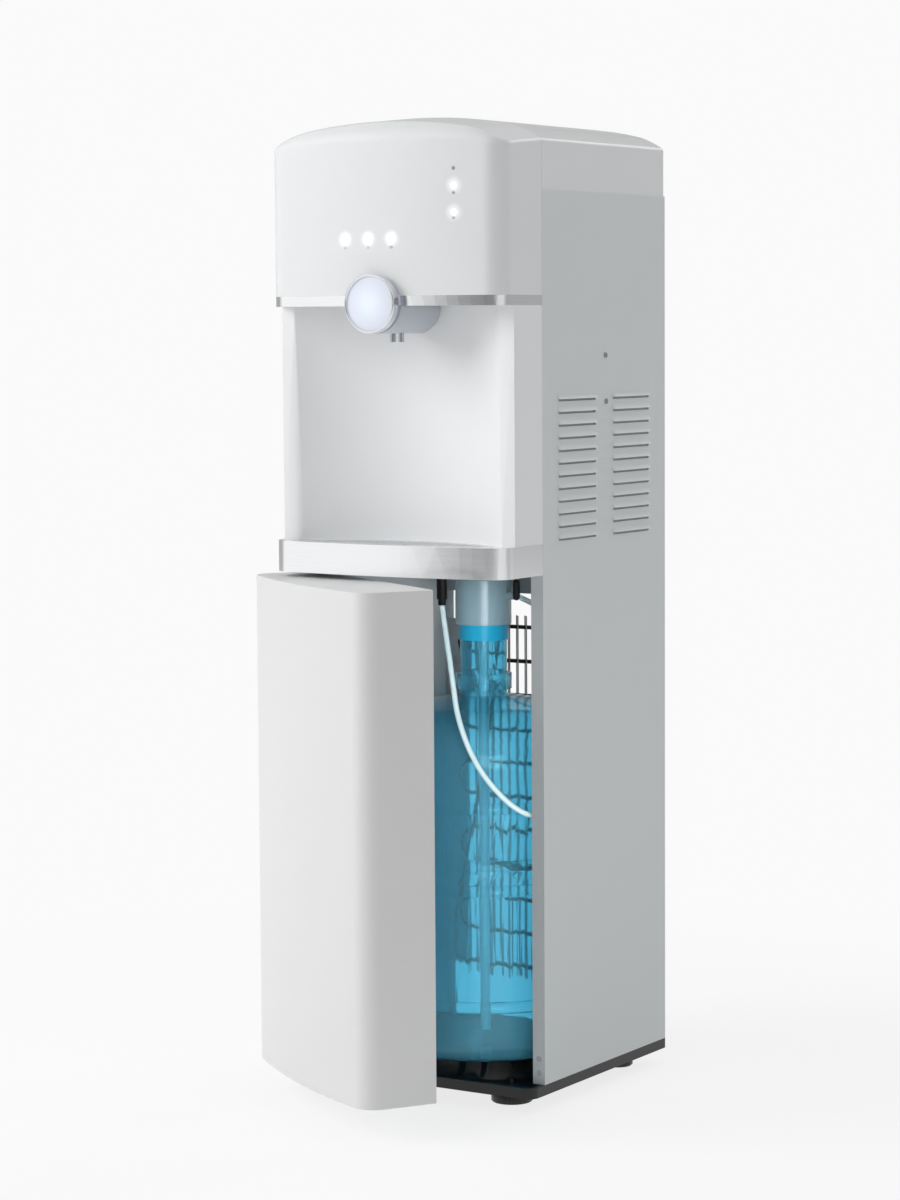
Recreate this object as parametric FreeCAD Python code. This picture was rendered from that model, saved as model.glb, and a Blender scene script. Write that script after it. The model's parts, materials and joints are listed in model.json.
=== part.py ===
import FreeCAD, Part
import math
import os

Vector = FreeCAD.Vector

# Bottom load water cooler, in millimetres. +Z is up and +X is to the right of someone facing the front (-Y).
# The origin is on the floor, below the middle of the cabinet with its door shut.

# ---------------------------------------------------------------- driving dimensions
cabinet_width = 310.0
cabinet_depth = 382.5            # bow of the front to the rear face, door shut
front_depth = 99.5               # front mouldings, forward of the steel side panels
bow_rise = 14.1                  # how far the middle of the front stands in front of its corners
corner_radius = 26.0             # upright front corners
steel_sheet = 1.0
moulding_wall = 2.5
seat_gap = 0.3                   # between separate pieces that seat against each other

foot_height = 18.0
base_height = 12.0
door_foot_gap = 8.0
door_height = 565.0
door_head_gap = 6.0
tray_band_height = 35.0
niche_height = 265.6
trim_band_height = 11.3
head_height = 172.1              # trim band to the edge of the crown at the sides
crown_rise = 28.0
crown_middle_rise = 7.5
crown_middle_half = 100.0
cover_skirt = 55.5

# levels that follow from the stack
half_width = cabinet_width / 2
front_y = -cabinet_depth / 2
rear_y = cabinet_depth / 2
seam_y = front_y + front_depth
base_top = foot_height + base_height
door_bottom = base_top + door_foot_gap
door_top = door_bottom + door_height
tray_bottom = door_top + door_head_gap
tray_top = tray_bottom + tray_band_height
niche_top = tray_top + niche_height
head_bottom = niche_top + trim_band_height
shoulder_z = head_bottom + head_height
crown_z = shoulder_z + crown_rise
panel_top = shoulder_z - cover_skirt
bow_radius = (half_width ** 2 + bow_rise ** 2) / (2 * bow_rise)
bow_centre_y = front_y + bow_radius
inner_half = half_width - steel_sheet


# ---------------------------------------------------------------- shape helpers
def block(x0, x1, y0, y1, z0, z1):
    return Part.makeBox(x1 - x0, y1 - y0, z1 - z0, Vector(x0, y0, z0))


def rod(radius, start, end):
    """Round bar between two points."""
    start = Vector(*start)
    axis = Vector(*end) - start
    return Part.makeCylinder(radius, axis.Length, start, axis)


def pipe(outer, inner, start, end):
    """Round tube between two points, open at both ends."""
    return rod(outer, start, end).cut(rod(inner, start, end))


def prism(points, direction):
    """Flat polygon pushed along a direction."""
    corners = [Vector(*p) for p in points]
    face = Part.Face(Part.makePolygon(corners + corners[:1]))
    return face.extrude(Vector(*direction))


def plate_with_corners(x0, x1, y0, y1, z0, z1, radius):
    """Block whose upright edges are rounded."""
    body = block(x0, x1, y0, y1, z0, z1)
    upright = [e for e in body.Edges if e.BoundBox.ZLength > 0.9 * (z1 - z0)]
    return body.makeFillet(radius, upright)


def fused(shapes):
    """One solid from pieces that share faces or volume."""
    shapes = list(shapes)
    return shapes[0].multiFuse(shapes[1:]).removeSplitter()


def spun(profile, centre_x, centre_y):
    """Solid of revolution about an upright axis from (radius, z) points."""
    points = [Vector(r, 0, z) for r, z in profile]
    face = Part.Face(Part.makePolygon(points + points[:1]))
    body = face.revolve(Vector(0, 0, 0), Vector(0, 0, 1), 360)
    body.translate(Vector(centre_x, centre_y, 0))
    return body


def one(shape):
    """The single solid inside a boolean's result."""
    return shape.Solids[0] if shape.ShapeType == "Compound" and len(shape.Solids) == 1 else shape


def save(node, *shapes):
    """Write a node's solids to its own file."""
    solids = [s for shape in shapes for s in shape.Solids]
    for solid in solids:
        if not solid.isValid():
            print("invalid solid in", node)
    whole = solids[0] if len(solids) == 1 else Part.makeCompound(solids)
    whole.exportStep("parts/" + node + ".step")


def bent_path(points, share=0.45, radius_limit=None):
    """Straight runs joined by tangent arcs. Returns the wire, its length and the arc radii."""
    knots = [Vector(*p) for p in points]
    edges = []
    radii = []
    here = knots[0]
    for before, corner, after in zip(knots, knots[1:], knots[2:]):
        run_in = (before - corner)
        run_out = (after - corner)
        reach = share * min(run_in.Length, run_out.Length)
        run_in.normalize()
        run_out.normalize()
        half_angle = run_in.getAngle(run_out) / 2
        radius = reach * math.tan(half_angle)
        if radius_limit and radius > radius_limit:
            radius = radius_limit
            reach = radius / math.tan(half_angle)
        start = corner + run_in * reach
        end = corner + run_out * reach
        bisector = (run_in + run_out).normalize()
        middle = corner + bisector * (radius / math.sin(half_angle) - radius)
        edges.append(Part.LineSegment(here, start).toShape())
        edges.append(Part.Arc(start, middle, end).toShape())
        radii.append(radius)
        here = end
    edges.append(Part.LineSegment(here, knots[-1]).toShape())
    wire = Part.Wire(edges)
    return wire, wire.Length, radii


def swept_rod(wire, radius):
    """Round bar along a wire."""
    first = wire.OrderedEdges[0]
    start = first.valueAt(first.FirstParameter)
    if (start - wire.OrderedVertexes[0].Point).Length > 1e-6:
        start = wire.OrderedVertexes[0].Point
    heading = first.tangentAt(first.FirstParameter)
    ring = Part.Wire(Part.makeCircle(radius, start, heading))
    return wire.makePipeShell([ring], True, False)


def bow_y(x, inset=0.0):
    """Y of the bowed front at x, for a surface that lies inset behind it."""
    return bow_centre_y - math.sqrt((bow_radius - inset) ** 2 - x ** 2)


def plan_face(inset, back_y, z):
    """Plan of the front mouldings: straight sides, round corners and a bowed front."""
    side = half_width - inset
    corner_x = half_width - corner_radius
    corner_y = bow_centre_y - math.sqrt((bow_radius - corner_radius) ** 2 - corner_x ** 2)
    small = corner_radius - inset
    large = bow_radius - inset
    reach = math.hypot(corner_x, corner_y - bow_centre_y)
    touch_x = corner_x / reach * large
    touch_y = bow_centre_y + (corner_y - bow_centre_y) / reach * large
    half_turn = math.atan2(corner_y - bow_centre_y, corner_x) / 2
    mid_x = corner_x + small * math.cos(half_turn)
    mid_y = corner_y + small * math.sin(half_turn)

    def at(x, y):
        return Vector(x, y, z)

    edges = [
        Part.LineSegment(at(side, back_y), at(side, corner_y)),
        Part.Arc(at(side, corner_y), at(mid_x, mid_y), at(touch_x, touch_y)),
        Part.Arc(at(touch_x, touch_y), at(0, bow_centre_y - large), at(-touch_x, touch_y)),
        Part.Arc(at(-touch_x, touch_y), at(-mid_x, mid_y), at(-side, corner_y)),
        Part.LineSegment(at(-side, corner_y), at(-side, back_y)),
        Part.LineSegment(at(-side, back_y), at(side, back_y)),
    ]
    return Part.Face(Part.Wire([e.toShape() for e in edges]))


def plan_prism(inset, back_y, z0, z1):
    return plan_face(inset, back_y, z0).extrude(Vector(0, 0, z1 - z0))


def crown_face(drop, y, low):
    """Upright section of the crown: a flat middle arc between two steeper shoulder arcs."""
    top = crown_z - drop
    overhang = 10.0
    middle_radius = (crown_middle_half ** 2 + crown_middle_rise ** 2) / (2 * crown_middle_rise)
    join = Vector(crown_middle_half, y, top - crown_middle_rise)
    edge = Vector(half_width, y, shoulder_z - drop)
    inward = (Vector(0, y, top - middle_radius) - join).normalize()
    shoulder_radius = (join - edge).Length ** 2 / (2 * inward.dot(edge - join))
    centre = join + inward * shoulder_radius
    join_angle = math.atan2(join.z - centre.z, join.x - centre.x)
    end_angle = math.acos((half_width + overhang - centre.x) / shoulder_radius)
    mid_angle = (join_angle + end_angle) / 2

    def on_shoulder(angle, side):
        x = centre.x + shoulder_radius * math.cos(angle)
        return Vector(side * x, y, centre.z + shoulder_radius * math.sin(angle))

    right = on_shoulder(end_angle, 1)
    left = on_shoulder(end_angle, -1)
    left_join = Vector(-join.x, y, join.z)
    edges = [
        Part.LineSegment(Vector(left.x, y, low), Vector(right.x, y, low)),
        Part.LineSegment(Vector(right.x, y, low), right),
        Part.Arc(right, on_shoulder(mid_angle, 1), join),
        Part.Arc(join, Vector(0, y, top), left_join),
        Part.Arc(left_join, on_shoulder(mid_angle, -1), left),
        Part.LineSegment(left, Vector(left.x, y, low)),
    ]
    return Part.Face(Part.Wire([e.toShape() for e in edges]))


def edges_at_height(shape, low_z, skip_y):
    """Edges of the crown's rim: above low_z, off the plane y = skip_y, and not the crown's ridge lines."""
    rim = []
    for edge in shape.Edges:
        box = edge.BoundBox
        on_plane = abs(box.YMin - skip_y) < 0.01 and abs(box.YMax - skip_y) < 0.01
        ridge = box.XLength < 0.01 and abs(abs(box.XMin) - crown_middle_half) < 1.0
        if box.ZMin > low_z and not on_plane and not ridge:
            rim.append(edge)
    return rim


# ---------------------------------------------------------------- base, feet and bottle seat
base_front_lip = 28.0            # the base in front of the steel side panels
base_corner = 14.0
base_floor = 4.0
base_rim = 5.0
seat_margin = 5.0                # round the flat of the bottle's foot
seat_height = 19.5
front_foot_radius = 24.0
front_foot_disc = 9.0
front_foot_x = 96.0
front_foot_set_back = 25.0       # behind the side panels' front edge
foot_stud_radius = 4.0
foot_stud_clearance = 0.06
foot_stud_reach = 4.5            # above the base's floor
rear_foot_radius = 18.0
rear_foot_x = 112.0
rear_foot_from_rear = 40.0
foot_y = seam_y + front_foot_set_back
base_front_y = seam_y - base_front_lip


def base_plate():
    body = plate_with_corners(-half_width, half_width, base_front_y, rear_y, foot_height, base_top,
                              base_corner)
    body = body.fuse(block(-half_width, half_width, seam_y, rear_y, foot_height, base_top)).removeSplitter()
    hollow = plate_with_corners(-half_width + base_rim, half_width - base_rim, base_front_y + base_rim,
                                rear_y - base_rim, foot_height + base_floor, base_top + 1,
                                base_corner - base_rim)
    body = body.cut(hollow)
    for side in (-1, 1):
        hole = rod(foot_stud_radius + foot_stud_clearance, (side * front_foot_x, foot_y, foot_height - 1),
                   (side * front_foot_x, foot_y, foot_height + base_floor + 1))
        body = body.cut(hole)
    seat_radius = bottle_radius - bottle_heel + seat_margin
    seat = rod(seat_radius, (0, bottle_axis_y, foot_height + 1), (0, bottle_axis_y, bottle_foot))
    return one(body.fuse(seat).removeSplitter())


def front_foot(side):
    """Levelling foot: a round pad with a domed top, and a stud through the base."""
    x = side * front_foot_x
    neck = 9.0
    profile = [(0, 0), (front_foot_radius - 1.5, 0), (front_foot_radius, 1.5),
               (front_foot_radius, front_foot_disc),
               (front_foot_radius - 5, front_foot_disc + 4), (neck, foot_height - 2.5),
               (neck, foot_height - seat_gap), (foot_stud_radius, foot_height - seat_gap),
               (foot_stud_radius, foot_height + base_floor + foot_stud_reach),
               (0, foot_height + base_floor + foot_stud_reach)]
    return spun(profile, x, foot_y)


def rear_feet():
    y = rear_y - rear_foot_from_rear
    profile = [(0, 0), (rear_foot_radius - 2, 0), (rear_foot_radius, 2), (rear_foot_radius, foot_height),
               (0, foot_height)]
    return [spun(profile, side * rear_foot_x, y) for side in (-1, 1)]


# ---------------------------------------------------------------- bottle and its cap
bottle_side_room = 19.0          # between the bottle and the steel at either side
bottle_ahead = 12.5              # it stands this far forward of the steel's front edge
bottle_behind = 25.5             # from its back to the cabinet's rear face
bottle_wall = 1.5
bottle_heel = 20.0
shoulder_rise = 78.0             # top of the straight body to the neck's collar
shoulder_round = 62.0
shoulder_slope_deg = 10.0        # of the cone between the round of the shoulder and the neck
neck_root_below_mouth = 74.0
neck_radius = 27.5
collar_radius = 33.0
collar_height = 18.0
groove_depth = 3.5
groove_half = 7.0
low_groove = 66.0                # above the foot of the bottle
high_grooves = (141.5, 112.5, 46.5)               # below the top of the straight body
cap_radius = 29.7
cap_wall = 1.8
cap_skirt = 16.0
cap_top_thickness = 2.0
probe_cap_radius = 33.0
probe_cap_height = 56.0
probe_cap_wall = 2.0
probe_radius = 6.0
probe_bore = 4.5
probe_above_floor = 12.0
port_radius = 4.5
port_reach = 12.0
port_below_top = 22.0
probe_headroom = 11.7            # over the probe's cap, under the lower deck
bottle_radius = min((rear_y - seam_y - bottle_behind + bottle_ahead) / 2, inner_half - bottle_side_room)
bottle_axis_y = seam_y - bottle_ahead + bottle_radius
bottle_foot = foot_height + base_floor + seat_height
deck_below_band = 3.0
deck_z = tray_bottom - deck_below_band
probe_top = deck_z - probe_headroom
cap_top = probe_top - probe_cap_height - seat_gap
bottle_mouth = cap_top - cap_top_thickness
neck_root = bottle_mouth - neck_root_below_mouth
straight_top = neck_root - shoulder_rise
port_z = probe_top - port_below_top


def bottle_wire(inset):
    """Half section of the bottle, from its axis at the foot to its mouth, moved inwards by inset."""
    side = bottle_radius - inset
    low = bottle_foot + inset
    heel = bottle_heel - inset
    centre_z = bottle_foot + bottle_heel
    lean = math.sqrt(0.5)
    edges = []
    here = Vector(side, 0, centre_z)
    edges.append(Part.LineSegment(Vector(0, 0, low), Vector(side - heel, 0, low)))
    edges.append(Part.Arc(Vector(side - heel, 0, low),
                          Vector(side - heel + heel * lean, 0, centre_z - heel * lean), here))
    for z in [bottle_foot + low_groove] + [straight_top - drop for drop in high_grooves]:
        start = Vector(side, 0, z - groove_half)
        end = Vector(side, 0, z + groove_half)
        edges.append(Part.LineSegment(here, start))
        edges.append(Part.Arc(start, Vector(side - groove_depth, 0, z), end))
        here = end
    top = Vector(side, 0, straight_top)
    round_x = bottle_radius - shoulder_round
    radius = shoulder_round - inset
    end_angle = math.radians(90 - shoulder_slope_deg)
    half_angle = end_angle / 2
    middle = Vector(round_x + radius * math.cos(half_angle), 0, straight_top + radius * math.sin(half_angle))
    end = Vector(round_x + radius * math.cos(end_angle), 0, straight_top + radius * math.sin(end_angle))
    run = end.x - (neck_radius - inset)
    root = Vector(neck_radius - inset, 0, end.z + run * math.tan(math.radians(shoulder_slope_deg)))
    edges.append(Part.LineSegment(here, top))
    edges.append(Part.Arc(top, middle, end))
    edges.append(Part.LineSegment(end, root))
    edges.append(Part.LineSegment(root, Vector(neck_radius - inset, 0, bottle_mouth)))
    edges.append(Part.LineSegment(Vector(neck_radius - inset, 0, bottle_mouth), Vector(0, 0, bottle_mouth)))
    edges.append(Part.LineSegment(Vector(0, 0, bottle_mouth), Vector(0, 0, low)))
    return Part.Wire([e.toShape() for e in edges])


def turned(wire):
    body = Part.Face(wire).revolve(Vector(0, 0, 0), Vector(0, 0, 1), 360)
    body.translate(Vector(0, bottle_axis_y, 0))
    return body


def bottle():
    shell = turned(bottle_wire(0)).cut(turned(bottle_wire(bottle_wall)))
    mouth = rod(neck_radius - bottle_wall, (0, bottle_axis_y, bottle_mouth - 1),
                (0, bottle_axis_y, bottle_mouth + 1))
    collar = pipe(collar_radius, neck_radius - 0.5, (0, bottle_axis_y, neck_root),
                  (0, bottle_axis_y, neck_root + collar_height))
    return one(shell.cut(mouth).fuse(collar).removeSplitter())


def crown_cap():
    low = bottle_mouth - cap_skirt
    inner = neck_radius + seat_gap
    profile = [(probe_radius + seat_gap, bottle_mouth), (inner, bottle_mouth), (inner, low), (cap_radius, low),
               (cap_radius, cap_top), (probe_radius + seat_gap, cap_top)]
    return spun(profile, 0, bottle_axis_y)


def probe_cap():
    """Clear dome that clips over the crown cap, with a round port for the hose on its right."""
    low = cap_top + seat_gap
    inner = probe_cap_radius - probe_cap_wall
    edge = 4.0
    outside = spun([(0, low), (probe_cap_radius, low), (probe_cap_radius, probe_top - edge),
                    (probe_cap_radius - edge, probe_top), (0, probe_top)], 0, bottle_axis_y)
    reach = probe_cap_radius + port_reach
    port = rod(port_radius, (0, bottle_axis_y, port_z), (reach, bottle_axis_y, port_z))
    inside = spun([(0, low - 1), (inner, low - 1), (inner, probe_top - edge),
                   (inner - 2, probe_top - probe_cap_wall), (0, probe_top - probe_cap_wall)], 0, bottle_axis_y)
    bore = rod(port_radius - 2, (0, bottle_axis_y, port_z), (reach + 1, bottle_axis_y, port_z))
    return one(outside.fuse(port).cut(inside).cut(bore))


def probe():
    """Draw tube from the cap to just above the bottle's floor, with a disc that sits on the crown cap."""
    low = bottle_foot + bottle_wall + probe_above_floor
    disc = 20.0
    top = cap_top + seat_gap + 8
    seat = cap_top + seat_gap
    profile = [(probe_bore, low), (probe_radius, low), (probe_radius, seat), (disc, seat), (disc, seat + 3),
               (probe_radius + 2, seat + 3), (probe_radius + 2, top), (probe_bore, top)]
    return spun(profile, 0, bottle_axis_y)


# ---------------------------------------------------------------- steel cabinet
front_flange = 15.8
rear_flange = 12.0
louvre_rows = 12
louvre_pitch = 14.24
louvre_top_rise = 163.6          # highest louvre above the cup space's floor
louvre_height = 5.8
louvre_stand = 3.0
louvre_slot = 2.6                # opening in the sheet below each lip
louvre_end = 3.0                 # each end slopes in over this length
louvre_columns = ((32.5, 121.5), (156.0, 246.0))  # from the side panel's front edge
louvre_skin = 0.9
screw_head_radius = 3.2
screw_head_height = 1.4
side_screw_places = ((141.0, 208.7), (142.5, 155.9))   # back from the front edge, above the cup space's floor
flange_screw_rises = (13.0, 29.0)                      # above the base
flange_screw_stand = 0.55        # flat heads, which the door's edge passes
rear_panel_lap = 46.0            # below the lower deck
rear_panel_bottom = deck_z - rear_panel_lap
louvre_top = tray_top + louvre_top_rise
rear_slot_height = 5.0
rear_slot_pitch = 14.0
rear_slot_rows = 10


def louvre(side, y0, y1, z_mid):
    """One pressed louvre: the outer wedge and the space to take out of it."""
    top = z_mid + louvre_height / 2
    low = z_mid - louvre_height / 2
    face = half_width
    lip = face + louvre_stand
    root = face - 0.2
    wedge = prism([(side * face, y0, top), (side * lip, y0, low), (side * root, y0, low),
                   (side * root, y0, top)], (0, y1 - y0, 0))
    plan = prism([(side * root, y0, low - 1), (side * face, y0, low - 1),
                  (side * lip, y0 + louvre_end, low - 1), (side * lip, y1 - louvre_end, low - 1),
                  (side * face, y1, low - 1), (side * root, y1, low - 1)], (0, 0, louvre_height + 2))
    back = face - steel_sheet - 0.5
    start = y0 + louvre_end
    hollow = prism([(side * back, start, top - louvre_skin),
                    (side * (face - 0.1), start, top - louvre_skin - 0.4),
                    (side * (lip - louvre_skin), start, low + 0.3),
                    (side * (lip - louvre_skin), start, low - 0.4),
                    (side * (face + 0.5), start, low - louvre_slot),
                    (side * back, start, low - louvre_slot)], (0, y1 - y0 - 2 * louvre_end, 0))
    return wedge.common(plan), hollow


def side_panel(side):
    """Bent steel side: a sheet with a flange turned in at the front and at the rear."""
    def across(inner, outer):
        return (side * inner, side * outer) if side > 0 else (side * outer, side * inner)

    x0, x1 = across(inner_half, half_width)
    sheet = block(x0, x1, seam_y, rear_y, base_top, panel_top)
    x0, x1 = across(half_width - front_flange, half_width)
    front = block(x0, x1, seam_y, seam_y + steel_sheet, base_top, panel_top)
    x0, x1 = across(half_width - rear_flange, half_width)
    rear = block(x0, x1, rear_y - steel_sheet, rear_y, base_top, panel_top)
    panel = fused([sheet, front, rear])
    pairs = [louvre(side, seam_y + start, seam_y + end, louvre_top - row * louvre_pitch)
             for start, end in louvre_columns for row in range(louvre_rows)]
    panel = panel.multiFuse([wedge for wedge, hollow in pairs])
    return panel.cut(Part.makeCompound([hollow for wedge, hollow in pairs]))


def screw_head(place, direction, height=screw_head_height):
    """Round head that sits on a face."""
    place = Vector(*place)
    direction = Vector(*direction)
    head = Part.makeCylinder(screw_head_radius, height, place, direction)
    rim = [e for e in head.Edges if e.Curve.TypeId == "Part::GeomCircle"
           and (e.CenterOfMass - place).dot(direction) > height / 2]
    return head.makeFillet(0.43 * height, rim)


def side_screws():
    heads = []
    for side in (-1, 1):
        for back, z in side_screw_places:
            heads.append(screw_head((side * half_width, seam_y + back, tray_top + z), (side, 0, 0)))
        for rise in flange_screw_rises:
            x = side * (half_width - front_flange / 2)
            heads.append(screw_head((x, seam_y, base_top + rise), (0, -1, 0), flange_screw_stand))
    return heads


def rear_panel():
    """Steel back of the upper half, with rows of vent slots and holes for what passes through it."""
    y0 = rear_y - 2 * steel_sheet
    half = inner_half - seat_gap
    sheet = block(-half, half, y0, y0 + steel_sheet, rear_panel_bottom, panel_top)
    slots = []
    for row in range(rear_slot_rows):
        z = tray_top + 40 + row * rear_slot_pitch
        for x0 in (-105.0, 15.0):
            slots.append(block(x0, x0 + 90, y0 - 1, y0 + 2, z, z + rear_slot_height))
    slots.append(rod(drain_hole_radius, (hot_x, y0 - 1, drain_z), (hot_x, rear_y + 1, drain_z)))
    slots.append(rod(gland_radius, (gland_x, y0 - 1, gland_z), (gland_x, rear_y + 1, gland_z)))
    for x in switch_places:
        slots.append(block(x - switch_body_x / 2 - seat_gap, x + switch_body_x / 2 + seat_gap, y0 - 1, y0 + 2,
                           switch_z - switch_body_z / 2 - seat_gap, switch_z + switch_body_z / 2 + seat_gap))
    return sheet.cut(Part.makeCompound(slots))


def rear_screws():
    heads = []
    for z in (rear_panel_bottom + 12, (rear_panel_bottom + panel_top) / 2, panel_top - 12):
        for side in (-1, 1):
            heads.append(screw_head((side * (half_width - rear_flange / 2), rear_y, z), (0, 1, 0)))
    return heads


# ---------------------------------------------------------------- decks inside the cabinet
deck_sheet = 1.5
tank_deck_rise = 216.0           # over the lower deck
tank_deck_z = deck_z + tank_deck_rise
deck_half = inner_half - seat_gap
deck_front_y = seam_y + steel_sheet + seat_gap
deck_rear_y = rear_y - 2 * steel_sheet - seat_gap


def lower_deck():
    """Steel shelf over the bottle bay, which carries the compressor and the pump."""
    sheet = block(-deck_half, deck_half, deck_front_y, deck_rear_y, deck_z, deck_z + deck_sheet)
    lip = block(-deck_half, deck_half, deck_front_y, deck_front_y + deck_sheet, deck_z, tray_top - 1)
    body = fused([sheet, lip])
    upper, lower = discharge_route[1], discharge_route[2]
    share = (upper[2] - deck_z) / (upper[2] - lower[2])
    x = upper[0] + share * (lower[0] - upper[0])
    body = body.cut(rod(tube_radius + 1.5, (x, upper[1], deck_z - 1), (x, upper[1], deck_z + 3)))
    return body


def tank_deck():
    """Steel shelf that carries both tanks."""
    sheet = block(-deck_half, deck_half, deck_front_y, deck_rear_y, tank_deck_z, tank_deck_z + deck_sheet)
    holes = [rod(4.5, (suction_x, suction_y, tank_deck_z - 1), (suction_x, suction_y, tank_deck_z + 3))]
    return sheet.cut(Part.makeCompound(holes))


# ---------------------------------------------------------------- door
hinge_x = -147.0
hinge_before_seam = 10.75
hinge_y = seam_y - hinge_before_seam
door_open_deg = 32.2             # the door as it stands at rest, from shut
door_back_gap = 0.8
door_hinge_side_cut = 4.4        # the hinge side stops short of the cabinet so that it can turn
door_liner_depth = 34.0          # inner face, forward of the door's rear edge
door_edge = 1.5
pin_radius = 2.5
pin_clearance = 0.05
bush_radius = 4.5
bracket_sheet = 2.0
door_back_y = seam_y - door_back_gap
liner_y = door_back_y - door_liner_depth


def swing(shape):
    """Turn a piece of the shut door to where it stands at rest."""
    turned_shape = shape.copy()
    turned_shape.rotate(Vector(hinge_x, hinge_y, 0), Vector(0, 0, 1), -door_open_deg)
    return turned_shape


def hinge_side_cut(z0, z1):
    return block(-half_width - 5, hinge_x, seam_y - door_hinge_side_cut, seam_y + 5, z0, z1)


def hinge_hole(radius, z0, z1):
    return rod(radius, (hinge_x, hinge_y, z0), (hinge_x, hinge_y, z1))


def door_shell():
    """Deep moulded pan, bowed in plan, with softened edges at its top and its foot."""
    solid = plan_prism(0, door_back_y, door_bottom, door_top)
    rim = [e for e in solid.Edges if e.BoundBox.ZLength < 0.01 and e.BoundBox.YMin < door_back_y - 1]
    solid = solid.makeFillet(door_edge, rim)
    hollow = plan_prism(moulding_wall, door_back_y + 1, door_bottom + moulding_wall, door_top - moulding_wall)
    solid = solid.cut(hollow).cut(hinge_side_cut(door_bottom - 1, door_top + 1))
    return swing(one(solid.cut(hinge_hole(bush_radius, door_bottom - 1, door_top + 1))))


def door_liner():
    """Inner pan that closes the door's back, set well forward so that it clears the bottle."""
    skin = moulding_wall + seat_gap
    outer = plan_prism(skin, door_back_y, door_bottom + skin, door_top - skin)
    hollow = plan_prism(skin + 2, door_back_y + 1, door_bottom + skin + 2, door_top - skin - 2)
    behind = block(-half_width, half_width, liner_y, door_back_y + 2, door_bottom, door_top)
    cup = outer.cut(hollow).common(behind)
    face = plan_prism(skin, liner_y, door_bottom + skin, door_top - skin)
    sheet = face.common(block(-half_width, half_width, liner_y - 2, liner_y, door_bottom, door_top))
    body = fused([cup, sheet])
    body = body.cut(hinge_side_cut(door_bottom - 1, door_top + 1))
    body = body.cut(hinge_hole(bush_radius, door_bottom - 1, door_bottom + 8))
    return swing(one(body.cut(hinge_hole(bush_radius, door_top - 8, door_top + 1))))


def door_bushes():
    """Two flanged bushes in the door's top and foot, which run on the hinge pins."""
    bore = pin_radius + pin_clearance
    flange = bush_radius + 1.5
    thick = 2 * moulding_wall + seat_gap
    carry = base_top + bracket_sheet + seat_gap
    low = spun([(bore, carry), (flange, carry), (flange, door_bottom), (bush_radius, door_bottom),
                (bush_radius, door_bottom + thick), (bore, door_bottom + thick)], hinge_x, hinge_y)
    high = spun([(bore, door_top - thick), (bush_radius, door_top - thick), (bush_radius, door_top),
                 (flange, door_top), (flange, door_top + 1.5), (bore, door_top + 1.5)], hinge_x, hinge_y)
    return [low, high]


def hinge_bracket(z0, pin_z0, pin_z1):
    """Steel plate in front of the cabinet's corner, with a pin riveted to it."""
    x0 = -half_width + 4
    plate = block(x0, x0 + 42, hinge_y - 12, seam_y - seat_gap, z0, z0 + bracket_sheet)
    pin = rod(pin_radius, (hinge_x, hinge_y, pin_z0), (hinge_x, hinge_y, pin_z1))
    return one(plate.fuse(pin).removeSplitter())


def hinge_brackets():
    low = hinge_bracket(base_top, base_top, door_bottom + 6)
    high = hinge_bracket(tray_bottom - bracket_sheet, door_top - 6, tray_bottom)
    return [low, high]


def door_catch():
    """Black rubber catch that hangs from the deck behind the door's free edge."""
    x = 117.0
    radius = 4.0
    low = deck_z - 27
    y = seam_y + 5
    stem = rod(1.6, (x, y, low + 22), (x, y, deck_z))
    oval = fused([rod(radius, (x, y, low + radius), (x, y, low + 24 - radius)),
                  Part.makeSphere(radius, Vector(x, y, low + radius)),
                  Part.makeSphere(radius, Vector(x, y, low + 24 - radius))])
    return one(oval.fuse(stem).removeSplitter())


# ---------------------------------------------------------------- tray shelf, bands and drip tray
band_sheet = 2.0
pocket_half = 124.0
pocket_depth = 24.0
pocket_corner = 14.0
pocket_front_inset = 11.0
niche_side = 17.0                # width of the upright pillar on each side of the niche
pillar_set_back = 39.5           # front faces of the pillars, behind the middle of the bow
niche_dish = 45.0                # how deep the niche's back curves in between the pillars
niche_wall = 3.0
tray_gap = 0.5
tray_wall = 2.0
grille_sheet = 3.0
grille_gap = 1.5                 # round the grille, inside the tray's wall
grille_rounder = 2.5             # its corners are rounder than the tray's
grille_slot = 4.0
grille_pitch = 9.0
pillar_y = front_y + pillar_set_back
niche_half = half_width - niche_side
niche_radius = (niche_half ** 2 + niche_dish ** 2) / (2 * niche_dish)
niche_centre_y = pillar_y + niche_dish - niche_radius
pocket_back_gap = 4.0            # between the tray's pocket and the niche's back


def strip(z0, z1):
    """Bright band round the front, the height of z0 to z1."""
    return plan_prism(0, seam_y - seat_gap, z0, z1).cut(plan_prism(band_sheet, seam_y + 1, z0 - 1, z1 + 1))


def pocket(grow, z0, z1, rounder=0.0):
    """Tray-shaped space: bowed front, back curved like the niche. A positive grow makes it larger."""
    bowed = plan_prism(pocket_front_inset - grow, seam_y, z0, z1)
    sides = block(-pocket_half - grow, pocket_half + grow, front_y - 10, seam_y, z0, z1)
    back = rod(niche_radius - pocket_back_gap + grow, (0, niche_centre_y, z0), (0, niche_centre_y, z1))
    body = one(one(bowed.common(sides)).common(back))
    upright = [e for e in body.Edges if e.BoundBox.ZLength > 0.9 * (z1 - z0)]
    return body.makeFillet(pocket_corner + min(grow, 0) + rounder, upright)


def tray_shelf():
    """White moulding inside the bright band, with the drip tray's pocket in its top."""
    inset = band_sheet + seat_gap
    body = plan_prism(inset, seam_y - seat_gap, tray_bottom, tray_top)
    return one(body.cut(pocket(0, tray_top - pocket_depth, tray_top + 1)))


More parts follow.
